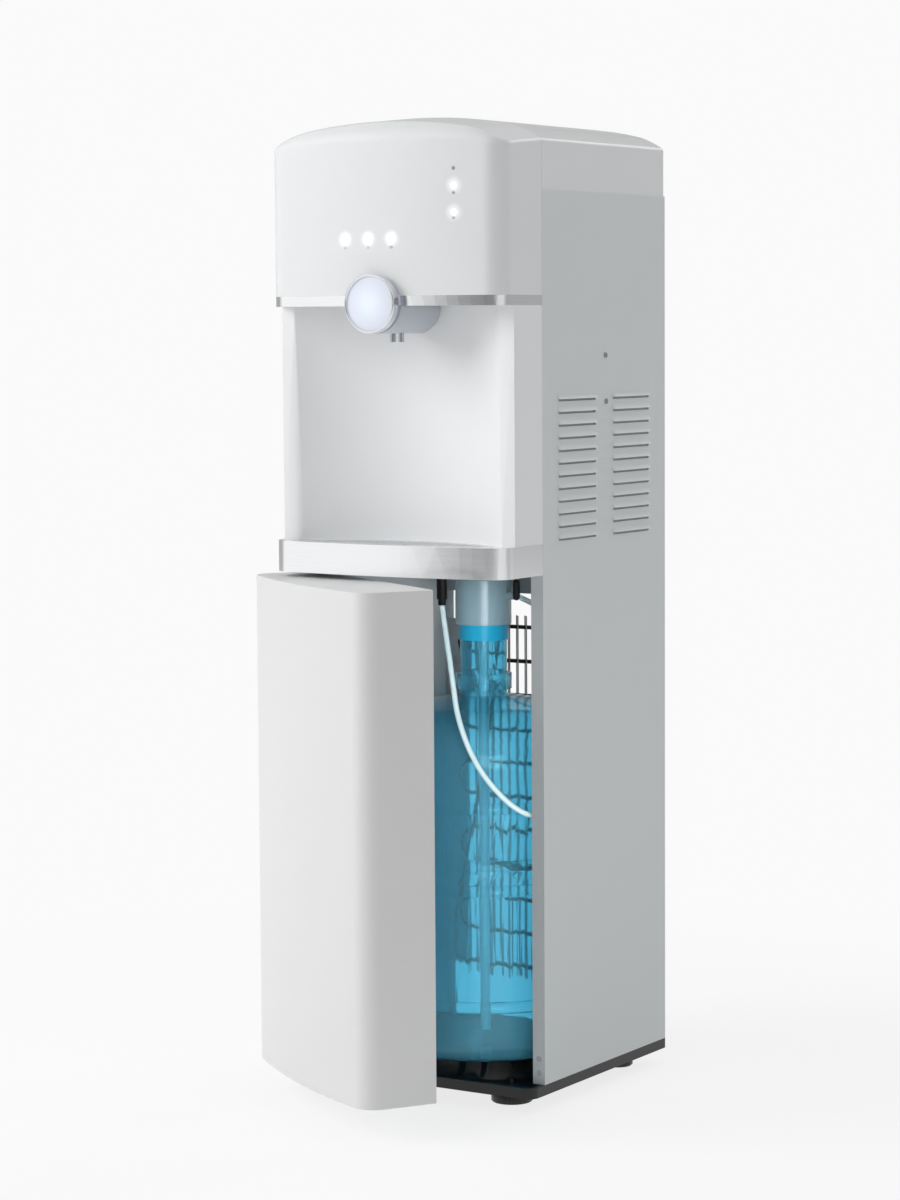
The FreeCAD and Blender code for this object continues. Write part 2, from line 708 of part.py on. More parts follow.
def drip_tray():
    floor_z = tray_top - pocket_depth
    outside = pocket(-tray_gap, floor_z, tray_top)
    inside = pocket(-tray_gap - tray_wall, floor_z + tray_wall, tray_top + 1)
    ledge = pocket(-tray_gap - tray_wall, floor_z, tray_top - grille_sheet)
    ledge = ledge.cut(pocket(-tray_gap - tray_wall - 3, floor_z - 1, tray_top))
    ledge = ledge.cut(pocket(0, floor_z - 1, tray_top - grille_sheet - 2))
    return one(outside.cut(inside).fuse(ledge).removeSplitter())


def drip_grille():
    """Plate with rows of slots, which drops into the tray's rim."""
    edge = tray_gap + tray_wall + grille_gap
    plate = pocket(-edge, tray_top - grille_sheet, tray_top, grille_rounder)
    net = pocket(-edge - 6, tray_top - grille_sheet - 1, tray_top + 1)
    columns = int(pocket_half / grille_pitch)
    bars = [block(k * grille_pitch - grille_slot / 2, k * grille_pitch + grille_slot / 2, front_y, seam_y,
                  tray_top - grille_sheet - 1, tray_top + 1) for k in range(-columns, columns + 1)]
    return plate.cut(net.common(Part.makeCompound(bars)))


def niche_panel():
    """White moulding of the cup space: two upright pillars and a back that curves in between them."""
    outer_half = half_width
    back_radius = niche_radius + niche_wall
    back_y = seam_y - seat_gap
    inner_side = outer_half - niche_wall
    rear_of_pillar = pillar_y + niche_wall
    arc_x = math.sqrt(back_radius ** 2 - (rear_of_pillar - niche_centre_y) ** 2)
    z = tray_top

    def at(x, y):
        return Vector(x, y, z)

    outline = [
        Part.LineSegment(at(outer_half, back_y), at(outer_half, pillar_y)),
        Part.LineSegment(at(outer_half, pillar_y), at(niche_half, pillar_y)),
        Part.Arc(at(niche_half, pillar_y), at(0, pillar_y + niche_dish), at(-niche_half, pillar_y)),
        Part.LineSegment(at(-niche_half, pillar_y), at(-outer_half, pillar_y)),
        Part.LineSegment(at(-outer_half, pillar_y), at(-outer_half, back_y)),
        Part.LineSegment(at(-outer_half, back_y), at(-inner_side, back_y)),
        Part.LineSegment(at(-inner_side, back_y), at(-inner_side, rear_of_pillar)),
        Part.LineSegment(at(-inner_side, rear_of_pillar), at(-arc_x, rear_of_pillar)),
        Part.Arc(at(-arc_x, rear_of_pillar), at(0, pillar_y + niche_dish + niche_wall),
                 at(arc_x, rear_of_pillar)),
        Part.LineSegment(at(arc_x, rear_of_pillar), at(inner_side, rear_of_pillar)),
        Part.LineSegment(at(inner_side, rear_of_pillar), at(inner_side, back_y)),
        Part.LineSegment(at(inner_side, back_y), at(outer_half, back_y)),
    ]
    face = Part.Face(Part.Wire([e.toShape() for e in outline]))
    return face.extrude(Vector(0, 0, niche_top - tray_top))


# ---------------------------------------------------------------- head
head_edge_middle = 24.0          # softening of the head's upper edge: wide at the middle of the front,
head_edge_shoulder = 17.5        # less where the crown starts to fall,
head_edge_corner = 10.5          # less again where the front turns to the side,
head_edge_side = 5.0             # and close along the sides
head_tilt_deg = 5.4              # the crown falls towards the front
cover_side_edge = 4.5
cover_rear_edge = 5.0
cover_rear_fall = 16.0
cover_rear_run = 103.4
head_floor_sheet = 3.0
head_lip = 8.0                   # how far the floor's upstand reaches up into the head
boss_radius = 4.0
board_y = front_y + 19.0
board_sheet = 1.6
board_left = -62.0
board_right = 112.0
board_low = head_bottom + 41.1
board_high = head_bottom + 145.1
board_hole_in = 7.0
selector_xs = (-40.7, -9.7, 20.8)
selector_z = head_bottom + 62.7
selector_radius = 4.5
selector_gap = 0.25
selector_travel = 1.2
selector_stand = 1.6
lamp_x = 99.0
lamp_heights = (head_bottom + 119.1, head_bottom + 90.2)
lamp_radius = 3.0


def head_edge_radius(x, inset):
    """Softening of the head's upper edge at x, for the form that lies inset behind the outside."""
    steps = ((0, head_edge_middle), (crown_middle_half, head_edge_shoulder),
             (half_width - corner_radius + 4, head_edge_corner), (half_width, head_edge_side))
    for (x0, r0), (x1, r1) in zip(steps, steps[1:]):
        if x <= x1:
            break
    share = min(1.0, (x - x0) / (x1 - x0))
    return r0 + share * (r1 - r0) - inset


def graded_edge(body, edges, inset):
    """Round a chain of edges with a radius that changes along it."""
    sheet = FreeCAD.ActiveDocument or FreeCAD.newDocument("head")
    base = sheet.addObject("Part::Feature", "edge_base")
    base.Shape = body
    softened = sheet.addObject("Part::Fillet", "edge")
    softened.Base = base
    radii = []
    for edge in edges:
        ends = [vertex.X for vertex in (edge.Vertexes[0], edge.Vertexes[-1])]
        if max(ends) < 0.5:
            continue
        number = 1 + [edge.isSame(other) for other in body.Edges].index(True)
        radii.append((number, head_edge_radius(ends[0], inset), head_edge_radius(ends[1], inset)))
    softened.Edges = radii
    sheet.recompute()
    return softened.Shape.Solids[0]


def head_block(inset):
    """Outer form of the head moved inwards by inset: bowed in plan, crowned, with a soft upper edge."""
    low = head_bottom - (0 if inset == 0 else 1)
    back = seam_y - seat_gap + (0 if inset == 0 else 1)
    upright = plan_prism(inset, back, low, crown_z + 20)
    reach = front_depth + 20
    fall = reach * math.tan(math.radians(head_tilt_deg))
    crown = crown_face(inset, back, low - 100).extrude(Vector(0, -reach, -fall))
    body = upright.common(crown).Solids[0]
    right = one(body.common(block(0, half_width, front_y - 1, back + 1, low - 1, crown_z + 20)))
    right = graded_edge(right, edges_at_height(right, shoulder_z - inset - 20, back), inset)
    return one(fused([right, right.mirror(Vector(0, 0, 0), Vector(1, 0, 0))]))


def board_holes():
    return [(x, z) for x in (board_left + board_hole_in, board_right - board_hole_in)
            for z in (board_low + board_hole_in, board_high - board_hole_in)]


def head_cover():
    """Glossy front moulding of the head, with bosses inside it for the control board."""
    shell = one(head_block(0).cut(head_block(moulding_wall)))
    bosses = [rod(boss_radius, (x, bow_y(x, moulding_wall / 2), z), (x, board_y, z))
              for x, z in board_holes()]
    shell = fused([shell] + bosses)
    holes = [rod(selector_radius + selector_gap, (x, front_y - 5, selector_z), (x, board_y - 4, selector_z))
             for x in selector_xs]
    holes += [rod(lamp_radius + seat_gap / 2, (lamp_x, front_y - 5, z), (lamp_x, board_y - 4, z))
              for z in lamp_heights]
    return one(shell.cut(Part.makeCompound(holes)))


def cover_block(inset):
    """Outer form of the rear cover: crowned like the head, and falling to the rear."""
    back = rear_y - inset
    front = seam_y - (0 if inset == 0 else 1)
    low = panel_top - (0 if inset == 0 else 1)
    body = block(-half_width + inset, half_width - inset, front, back, low, crown_z + 5)
    crown = crown_face(inset, front, low - 20).extrude(Vector(0, back - front + 5, 0))
    body = one(body.common(crown))
    start = rear_y - cover_rear_run
    radius = (cover_rear_run ** 2 + cover_rear_fall ** 2) / (2 * cover_rear_fall)
    top = crown_z - inset
    end_y = rear_y + 5
    end_z = top - radius + math.sqrt(radius ** 2 - (end_y - start) ** 2)
    mid_y = (start + end_y) / 2
    mid_z = top - radius + math.sqrt(radius ** 2 - (mid_y - start) ** 2)
    x = -half_width - 5
    above = [
        Part.Arc(Vector(x, start, top), Vector(x, mid_y, mid_z), Vector(x, end_y, end_z)),
        Part.LineSegment(Vector(x, end_y, end_z), Vector(x, end_y, top + 20)),
        Part.LineSegment(Vector(x, end_y, top + 20), Vector(x, start, top + 20)),
        Part.LineSegment(Vector(x, start, top + 20), Vector(x, start, top)),
    ]
    waste = Part.Face(Part.Wire([e.toShape() for e in above])).extrude(Vector(2 * half_width + 10, 0, 0))
    body = one(body.cut(waste))
    if inset:
        return body
    rear = [e for e in body.Edges if e.BoundBox.ZMin > shoulder_z - 60 and e.BoundBox.YLength < 0.01
            and abs(e.BoundBox.YMin - rear_y) < 0.01 and e.BoundBox.XLength > 5 and e.BoundBox.ZMin > low + 1]
    body = body.makeFillet(cover_rear_edge, rear)
    sides = [e for e in body.Edges if e.BoundBox.ZMin > shoulder_z - 25 and e.BoundBox.XLength < 0.01
             and abs(abs(e.BoundBox.XMin) - half_width) < 0.01 and e.BoundBox.YLength > cover_rear_run / 2]
    return body.makeFillet(cover_side_edge, sides)


def top_cover():
    """Moulding over the rear of the cabinet, with a skirt down to the steel panels."""
    return one(cover_block(0).cut(cover_block(moulding_wall)))


def head_floor():
    """Ceiling of the cup space, with an upstand that locates the bright band and the head."""
    inset = band_sheet + seat_gap
    back = seam_y - seat_gap
    sheet = plan_prism(inset, back, niche_top, niche_top + head_floor_sheet)
    lip_inset = moulding_wall + seat_gap
    lip = plan_prism(lip_inset, back, niche_top, head_bottom + head_lip)
    lip = lip.cut(plan_prism(lip_inset + 2.5, back + 1, niche_top - 1, head_bottom + head_lip + 1))
    body = fused([sheet, lip])
    opening = block(-valve_opening, valve_opening, front_y + 8, nozzle_y + 24, niche_top - 1, niche_top + 5)
    passage = rod(plunger_radius + 0.75, (0, front_y - 5, button_z), (0, front_y + 12, button_z))
    return one(body.cut(opening).cut(passage))


# ---------------------------------------------------------------- dispensing: button, housing, nozzles
button_z = niche_top + 2.4
button_radius = 33.0
button_lens_radius = 29.8
button_stand = 14.5              # its face, in front of the middle of the bow
button_thickness = 9.75
button_travel = 4.0
plunger_radius = 6.0
plunger_reach = 27.25
housing_radius = 33.0
housing_wall = 2.5
nozzle_x = 5.5
nozzle_radius = 3.0
nozzle_bore = 2.0
nozzle_y = front_y + 42.5
nozzle_reach = 9.5               # below the housing
nozzle_length = 20.0
valve_opening = 18.0
button_face_y = front_y - button_stand
plunger_end_y = button_face_y + plunger_reach
nozzle_tip = button_z - housing_radius - nozzle_reach
valve_half = 26.0
valve_bottom = niche_top + head_floor_sheet


def button_rim():
    """Bright ring of the dispensing button."""
    back = button_face_y + button_thickness
    ring = pipe(button_radius, button_lens_radius, (0, button_face_y, button_z), (0, back, button_z))
    front_edges = [e for e in ring.Edges
                   if e.BoundBox.YLength < 0.01 and e.BoundBox.YMin < button_face_y + 0.01]
    return ring.makeFillet(1.4, front_edges)


def button_lens():
    """Pale lit face of the button, slightly domed, with the plunger behind it."""
    back = button_face_y + button_thickness
    radius = button_lens_radius - 0.1
    dome = 1.2
    edge_y = button_face_y + 1.8
    sphere_radius = (radius ** 2 + dome ** 2) / (2 * dome)
    disc = rod(radius, (0, edge_y - dome, button_z), (0, back, button_z))
    ball = Part.makeSphere(sphere_radius, Vector(0, edge_y - dome + sphere_radius, button_z))
    disc = one(disc.common(ball))
    plunger = rod(plunger_radius, (0, back - 1, button_z), (0, plunger_end_y, button_z))
    return one(disc.fuse(plunger).removeSplitter())


def tap_housing():
    """Rounded housing under the head, from behind the button to the niche's back wall."""
    start_y = front_y + 0.5
    end_y = pillar_y + niche_dish + 10
    radius_in = niche_radius - seat_gap
    keep = rod(radius_in, (0, niche_centre_y, niche_top - 60), (0, niche_centre_y, niche_top - seat_gap))
    body = rod(housing_radius, (0, start_y, button_z), (0, end_y, button_z)).common(keep)
    hollow = rod(housing_radius - housing_wall, (0, start_y + 3, button_z), (0, end_y, button_z))
    keep_in = rod(radius_in - housing_wall, (0, niche_centre_y, niche_top - 60),
                  (0, niche_centre_y, niche_top + 1))
    body = body.cut(hollow.common(keep_in))
    cuts = [rod(plunger_radius + 0.75, (0, start_y - 1, button_z), (0, start_y + 5, button_z))]
    cuts += [rod(nozzle_radius + 0.1, (side * nozzle_x, nozzle_y, nozzle_tip - 1),
                 (side * nozzle_x, nozzle_y, button_z)) for side in (-1, 1)]
    return one(body.cut(Part.makeCompound(cuts)))


def nozzle(side):
    x = side * nozzle_x
    top = nozzle_tip + nozzle_length
    return pipe(nozzle_radius, nozzle_bore, (x, nozzle_y, nozzle_tip), (x, nozzle_y, top))


def valve_body():
    """Double valve on the head's floor, with two coils on it and a spout down to each nozzle."""
    body = block(-valve_half, valve_half, nozzle_y - 8, nozzle_y + 14, valve_bottom, valve_bottom + 26)
    spouts = [rod(nozzle_radius, (side * nozzle_x, nozzle_y, nozzle_tip + nozzle_length),
                  (side * nozzle_x, nozzle_y, valve_bottom + 1)) for side in (-1, 1)]
    low = valve_bottom + 25
    coils = [rod(10, (side * 13.0, nozzle_y + 3, low), (side * 13.0, nozzle_y + 3, low + 25))
             for side in (-1, 1)]
    return fused([body] + spouts + coils)


def dispense_switch():
    """Sprung switch behind the plunger, on the head's floor."""
    y0 = plunger_end_y + button_travel + seat_gap
    return block(-valve_half, valve_half, y0, y0 + 9, valve_bottom, valve_bottom + 18)


def trim_band():
    """Bright band under the head, notched for the plunger."""
    passage = rod(plunger_radius + 0.75, (0, front_y - 5, button_z), (0, front_y + 12, button_z))
    return one(strip(niche_top, head_bottom).cut(passage))


# ---------------------------------------------------------------- controls in the head
def selector(x):
    """Small lit push button: a pin through the head with a collar behind the wall."""
    face = bow_y(x) - selector_stand
    inner = bow_y(abs(x) - selector_radius - 2, moulding_wall)
    back = board_y - 3.5 - selector_travel - 0.1
    pin = rod(selector_radius, (x, face, selector_z), (x, back, selector_z))
    tip = [e for e in pin.Edges if e.BoundBox.YLength < 0.01 and e.BoundBox.YMin < face + 0.01]
    pin = pin.makeFillet(0.8, tip)
    collar_y = max(inner, bow_y(abs(x) + selector_radius + 2, moulding_wall)) + seat_gap
    collar = rod(selector_radius + 1.8, (x, collar_y, selector_z), (x, collar_y + 1.5, selector_z))
    return one(pin.fuse(collar).removeSplitter())


def indicator_lamps():
    """Two light pipes through the right of the head."""
    face = bow_y(lamp_x) - 0.4
    return [rod(lamp_radius, (lamp_x, face, z), (lamp_x, board_y, z)) for z in lamp_heights]


def control_board():
    """Board with its larger chips, and a switch in front for each selector."""
    board = block(board_left, board_right, board_y, board_y + board_sheet, board_low, board_high)
    holes = [rod(1.7, (x, board_y - 1, z), (x, board_y + 3, z)) for x, z in board_holes()]
    rear = board_y + board_sheet
    chips = [block(-40, -10, rear, rear + 9, board_low + 50, board_low + 84),
             block(25, 62, rear, rear + 14, board_low + 20, board_low + 50)]
    keys = [block(x - 3, x + 3, board_y - 3.5, board_y, selector_z - 3, selector_z + 3) for x in selector_xs]
    return fused([board] + chips + keys).cut(Part.makeCompound(holes))


def board_screws():
    """Screws that hold the board on its bosses."""
    y = board_y + board_sheet
    return [screw_head((x, y, z), (0, 1, 0)) for x, z in board_holes()]


# ---------------------------------------------------------------- tanks
cold_x = -67.0
cold_back = 145.0                # behind the steel's front edge, as for the other machinery
cold_y = seam_y + cold_back
cold_radius = 65.0
cold_height = 160.0
jacket_sheet = 3.0
foam_wall = 15.0
hot_x = 97.0
hot_back = 130.0
hot_y = seam_y + hot_back
hot_radius = 45.0
hot_height = 160.0
hot_stand_height = 34.0
heater_sheet = 2.8
heater_height = 50.0
tank_wall = 1.2
tank_port_radius = 5.0
tank_port_rise = 8.0
tank_floor = tank_deck_z + deck_sheet
cold_bottom = tank_floor + foam_wall
foam_inner = cold_radius + seat_gap + jacket_sheet + seat_gap
hot_bottom = tank_floor + hot_stand_height


def vessel(radius, low, high, x, y):
    """Thin tank with bevelled ends, open through a port in its top."""
    bevel = 8.0

    def form(inset):
        r, z0, z1 = radius - inset, low + inset, high - inset
        return spun([(0, z0), (r - bevel, z0), (r, z0 + bevel), (r, z1 - bevel), (r - bevel, z1),
                     (0, z1)], x, y)

    port = rod(tank_port_radius, (x, y, high - tank_wall), (x, y, high + tank_port_rise))
    bore = rod(tank_port_radius - tank_wall, (x, y, high - 2 * tank_wall), (x, y, high + tank_port_rise + 1))
    return one(form(0).fuse(port).cut(form(tank_wall)).cut(bore))


def cold_tank():
    return vessel(cold_radius, cold_bottom, cold_bottom + cold_height, cold_x, cold_y)


def cooling_jacket():
    """Evaporator sleeve wrapped round the cold tank."""
    inner = cold_radius + seat_gap
    return pipe(inner + jacket_sheet, inner, (cold_x, cold_y, cold_bottom + 14),
                (cold_x, cold_y, cold_bottom + cold_height - 30))


def foam_cup():
    outer = foam_inner + foam_wall
    top = cold_bottom + cold_height + foam_wall
    return spun([(0, tank_floor), (outer, tank_floor), (outer, top), (foam_inner, top), (foam_inner, cold_bottom),
                 (0, cold_bottom)], cold_x, cold_y)


def foam_lid():
    outer = foam_inner + foam_wall
    top = cold_bottom + cold_height + foam_wall
    plug = foam_inner - seat_gap
    low = cold_bottom + cold_height + seat_gap
    hole = tank_port_radius + seat_gap
    return spun([(hole, low), (plug, low), (plug, top), (outer, top), (outer, top + foam_wall),
                 (hole, top + foam_wall)], cold_x, cold_y)


def hot_tank():
    """Stainless tank on three posts, with a drain out through the rear panel to a spigot."""
    tank = vessel(hot_radius, hot_bottom, hot_bottom + hot_height, hot_x, hot_y)
    legs = []
    for step in range(3):
        angle = math.radians(90 + 120 * step)
        x = hot_x + (hot_radius - 14) * math.cos(angle)
        y = hot_y + (hot_radius - 14) * math.sin(angle)
        legs.append(rod(4, (x, y, tank_floor), (x, y, hot_bottom + tank_wall)))
    down = ((hot_x, hot_y, hot_bottom + tank_wall), (hot_x, hot_y, drain_z),
            (hot_x, rear_y + drain_stand, drain_z))
    wire, length, radii = bent_path(down, 0.49, 11.0)
    print("drain pipe: length %.0f, radius %.1f" % (length, radii[0]))
    flange_y = rear_y - 2 * steel_sheet
    flange = rod(drain_hole_radius + 4, (hot_x, flange_y - 2, drain_z), (hot_x, flange_y, drain_z))
    return fused([tank, swept_rod(wire, drain_radius), flange] + legs)


def heater_band():
    inner = hot_radius + seat_gap
    low = hot_bottom + 22
    return pipe(inner + heater_sheet, inner, (hot_x, hot_y, low), (hot_x, hot_y, low + heater_height))


def thermostats():
    """Two round cut-outs on the front of the hot tank, above the heater."""
    y0 = hot_y - hot_radius - seat_gap
    z = hot_bottom + 22 + heater_height + 24
    return [rod(8, (hot_x, y0 - 7, z + 26 * step), (hot_x, y0, z + 26 * step)) for step in range(2)]


# ---------------------------------------------------------------- compressor and its tubes
compressor_x = 5.0
compressor_back = 160.0
compressor_y = seam_y + compressor_back
compressor_radius = 64.0
compressor_height = 150.0
grommet_height = 9.0
compressor_plate = 2.5
compressor_foot_x = 82.0
compressor_foot_y = 55.0
tube_radius = 2.5
suction_x = -30.0
suction_y = compressor_y
suction_radius = 3.5
relay_depth = 26.0
deck_top = deck_z + deck_sheet
plate_bottom = deck_top + grommet_height
shell_bottom = plate_bottom + compressor_plate
shell_top = shell_bottom + compressor_height


def compressor():
    """Hermetic shell with domed ends, a seam round its middle, a foot plate and a stub for each tube."""
    mid = shell_bottom + 0.55 * compressor_height
    r = compressor_radius
    wall = 8.0
    body = spun([(0, shell_bottom), (r - 22, shell_bottom), (r - 7, shell_bottom + 8), (r, shell_bottom + 26),
                 (r, mid - 3), (r + 3, mid - 3), (r + 3, mid + 3), (r, mid + 3), (r, shell_top - 34),
                 (r - 9, shell_top - 13), (r - 28, shell_top - 3), (0, shell_top)], compressor_x, compressor_y)
    stub = rod(suction_radius + 1.5, (suction_x, suction_y, shell_top - 20),
               (suction_x, suction_y, shell_top + 4))
    x, y = compressor_foot_x + 12, compressor_foot_y + 8
    plate = plate_with_corners(compressor_x - x, compressor_x + x, compressor_y - y, compressor_y + y,
                               plate_bottom, shell_bottom + 1, 10)
    start = Vector(*discharge_route[0])
    centre = Vector(compressor_x, compressor_y, start.z)
    root = centre + (start - centre).normalize() * (r - wall / 2)
    outlet = rod(tube_radius + 1.5, root, start)
    hollow = spun([(0, shell_bottom + wall), (r - 30, shell_bottom + wall), (r - wall, shell_bottom + 28),
                   (r - wall, shell_top - 38), (r - 34, shell_top - wall - 3), (0, shell_top - wall - 3)],
                  compressor_x, compressor_y)
    bore = rod(suction_radius - 1.5, (suction_x, suction_y, shell_top - 35),
               (suction_x, suction_y, shell_top + 5))
    return one(fused([body, stub, plate, outlet]).cut(hollow).cut(bore))


def grommets():
    feet = []
    for sx in (-1, 1):
        for sy in (-1, 1):
            x = compressor_x + sx * compressor_foot_x
            y = compressor_y + sy * (compressor_foot_y - 4)
            feet.append(spun([(0, deck_top), (10, deck_top), (10, deck_top + 3), (7.5, deck_top + 4.5),
                              (10, deck_top + 6), (10, plate_bottom), (0, plate_bottom)], x, y))
    return feet


def start_relay():
    """Terminal box on the compressor's left side."""
    x1 = compressor_x - compressor_radius - seat_gap
    z = shell_bottom + 30
    return block(x1 - relay_depth, x1, compressor_y - 22, compressor_y + 22, z, z + 46)


def suction_tube():
    return rod(suction_radius, (suction_x, suction_y, shell_top + 4), (suction_x, suction_y, tank_floor))


# ---------------------------------------------------------------- condenser on the rear
condenser_runs = 11
condenser_pitch = 42.0
condenser_low = 99.5
condenser_half = 128.0           # to the outside of the return bends
condenser_from_rear = 10.0
wire_radius = 0.8
wire_pitch = 6.0
wire_count = 39
condenser_y = rear_y - condenser_from_rear
condenser_high = condenser_low + (condenser_runs - 1) * condenser_pitch
bracket_sheet_rear = 1.5

discharge_rise = 60.0            # outlet above the compressor's foot plate
discharge_outlet = (-33.8, 59.5)                 # from the compressor's axis
discharge_ahead = 9.25           # the tube comes down this far in front of the condenser
discharge_z = shell_bottom + discharge_rise
discharge_y = condenser_y - discharge_ahead
outer_bend = condenser_half + 9.5
# from the compressor, through the deck and down behind the bottle to the start of the condenser
discharge_route = ((compressor_x + discharge_outlet[0], compressor_y + discharge_outlet[1], discharge_z),
                   (-52.0, discharge_y, discharge_z), (-54.0, discharge_y, deck_z - 16.0),
                   (-58.0, discharge_y, deck_z - 106.0), (-76.0, discharge_y, deck_z - 181.0),
                   (-92.0, discharge_y, condenser_low + 235.5), (-113.0, discharge_y, condenser_low + 135.5),
                   (-130.0, discharge_y + 2.0, condenser_low + 60.5), (-outer_bend, condenser_y, condenser_low),
                   (-condenser_half + condenser_pitch / 2, condenser_y, condenser_low))


def condenser_tube():
    """One serpentine tube: level runs joined by half-round return bends."""
    bend = condenser_pitch / 2
    straight = condenser_half - bend
    edges = []
    for run in range(condenser_runs):
        z = condenser_low + run * condenser_pitch
        side = 1 if run % 2 == 0 else -1
        start = Vector(-side * straight, condenser_y, z)
        end = Vector(side * straight, condenser_y, z)
        edges.append(Part.LineSegment(start, end).toShape())
        if run < condenser_runs - 1:
            outer = Vector(side * (straight + bend), condenser_y, z + bend)
            edges.append(Part.Arc(end, outer, Vector(end.x, condenser_y, z + condenser_pitch)).toShape())
    wire = Part.Wire(edges)
    tube = swept_rod(wire, tube_radius)
    expected = math.pi * tube_radius ** 2 * wire.Length
    print("condenser tube: length %.0f, volume off by %.4f" % (wire.Length, tube.Volume / expected - 1))
    return tube


def condenser_wires():
    """Upright wires welded to both faces of the serpentine, in turn."""
    wires = []
    offset = tube_radius + wire_radius
    for index in range(wire_count):
        x = (index - (wire_count - 1) / 2) * wire_pitch
        y = condenser_y - offset if index % 2 == 0 else condenser_y + offset
        wires.append(rod(wire_radius, (x, y, condenser_low - 14), (x, y, condenser_high + 14)))
    return wires


def condenser_bracket(side):
    """Bent strip that ties the condenser's return bends to the side panel's rear flange."""
    low = condenser_low - 6
    y0 = condenser_y + tube_radius + seat_gap
    y1 = y0 + bracket_sheet_rear
    y3 = rear_y - steel_sheet
    y2 = y3 - bracket_sheet_rear
    x0, x1, x2 = 119.5, condenser_half + 4, inner_half - seat_gap
    outline = [(x0, y0), (x1 + bracket_sheet_rear, y0), (x1 + bracket_sheet_rear, y2), (x2, y2), (x2, y3), (x1, y3),
               (x1, y1), (x0, y1)]
    return prism([(side * x, y, low) for x, y in outline], (0, 0, condenser_high - condenser_low + 12))


def discharge_tube():
    wire, length, radii = bent_path(discharge_route, 0.45, 24.0)
    print("discharge tube: length %.0f, least radius %.1f" % (length, min(radii)))
    return swept_rod(wire, tube_radius)


# ---------------------------------------------------------------- pump, hose and fittings
pump_x = -108.0
pump_back = 42.0
pump_y = seam_y + pump_back
hose_radius = 3.2
fitting_radius = 6.0
fitting_reach = 38.3             # below the deck
hose_end_gap = 1.2               # between the hose's ends and the faces they meet
# from the fitting under the deck, down past the bottle, round to the right and up to the cap's port
hose_route = ((13.2, -80.0, deck_z - fitting_reach), (20.5, -84.5, 540.0), (35.5, -94.0, 486.0),
              (47.0, -101.5, 441.0), (69.0, -103.0, 395.0), (98.0, -97.0, 358.0), (127.0, -82.0, 333.0),
              (146.0, -54.0, 333.0), (149.0, -22.0, 362.0), (148.0, 2.0, 405.0), (142.0, 22.0, 455.0),
              (126.0, bottle_axis_y, 510.0), (96.0, bottle_axis_y, port_z - 16.3),
              (probe_cap_radius + port_reach + hose_end_gap, bottle_axis_y, port_z))


def pump():
    """Diaphragm pump: a square head and a round motor."""
    head = plate_with_corners(pump_x - 24, pump_x + 24, pump_y - 24, pump_y + 24,
                              deck_top + 6, deck_top + 44, 6)
    motor = rod(19, (pump_x, pump_y, deck_top + 43), (pump_x, pump_y, deck_top + 104))
    feet = [rod(6, (pump_x + sx * 16, pump_y + sy * 16, deck_top),
                (pump_x + sx * 16, pump_y + sy * 16, deck_top + 7)) for sx in (-1, 1) for sy in (-1, 1)]
    return fused([head, motor] + feet)


def hose_fitting():
    """Black fitting that hangs from the deck, where the hose leaves it."""
    x, y, z = hose_route[0]
    stem = rod(fitting_radius, (x, y, z + 8), (x, y, deck_z))
    nut = rod(fitting_radius + 2.5, (x, y, deck_z - 6), (x, y, deck_z))
    spigot = rod(hose_radius + 1.3, (x, y, z + hose_end_gap), (x, y, z + 8))
    return one(fused([stem, nut, spigot]))


def hose():
    wire, length, radii = bent_path(hose_route)
    tube = swept_rod(wire, hose_radius)
    expected = math.pi * hose_radius ** 2 * length
    print("hose: length %.0f, volume off by %.4f" % (length, tube.Volume / expected - 1))
    print("hose radii:", " ".join("%.0f" % r for r in radii))
    return tube


# ---------------------------------------------------------------- rear fittings
drain_rise = 13.0                # above the tank deck's face
drain_z = tank_floor + drain_rise
drain_radius = 6.0
drain_hole_radius = 8.0
drain_stand = 6.0
drain_cap_radius = 12.0
drain_cap_height = 14.0
gland_x = 110.0
gland_z = tray_top + 12.0
gland_radius = 8.0
gland_bore = 3.5
switch_places = (-92.0, -58.0)
switch_z = panel_top - 60.0
switch_body_x = 20.0
switch_body_z = 26.0
switch_frame = 2.0
rocker_half = 6.5
rocker_radius = 9.0
rocker_pivot_y = rear_y + 0.5
rocker_tilt_deg = 8.0


def drain_cap():
    """Black screw cap on the drain's spigot."""
    y0 = rear_y + seat_gap
    y1 = y0 + drain_cap_height
    body = rod(drain_cap_radius, (hot_x, y0, drain_z), (hot_x, y1, drain_z))
    grips = []
    for step in range(12):
        angle = math.radians(30 * step)
        x = hot_x + (drain_cap_radius + 0.6) * math.cos(angle)
        z = drain_z + (drain_cap_radius + 0.6) * math.sin(angle)
        grips.append(rod(1.4, (x, y0 + 3, z), (x, y1 + 1, z)))
    bore = rod(drain_radius + 0.1, (hot_x, y0 - 1, drain_z), (hot_x, rear_y + drain_stand + 0.5, drain_z))
    return one(body.cut(Part.makeCompound(grips)).cut(bore))


def power_gland():
    """Black bush where the power lead enters. The lead itself is left off."""
    y0 = rear_y - 2 * steel_sheet
    y1 = y0 + steel_sheet
    flange = pipe(gland_radius + 3, gland_bore, (gland_x, y1, gland_z), (gland_x, y1 + 3, gland_z))
    barrel = pipe(gland_radius - 0.1, gland_bore, (gland_x, y0 - 6, gland_z), (gland_x, y1, gland_z))
    return fused([flange, barrel])


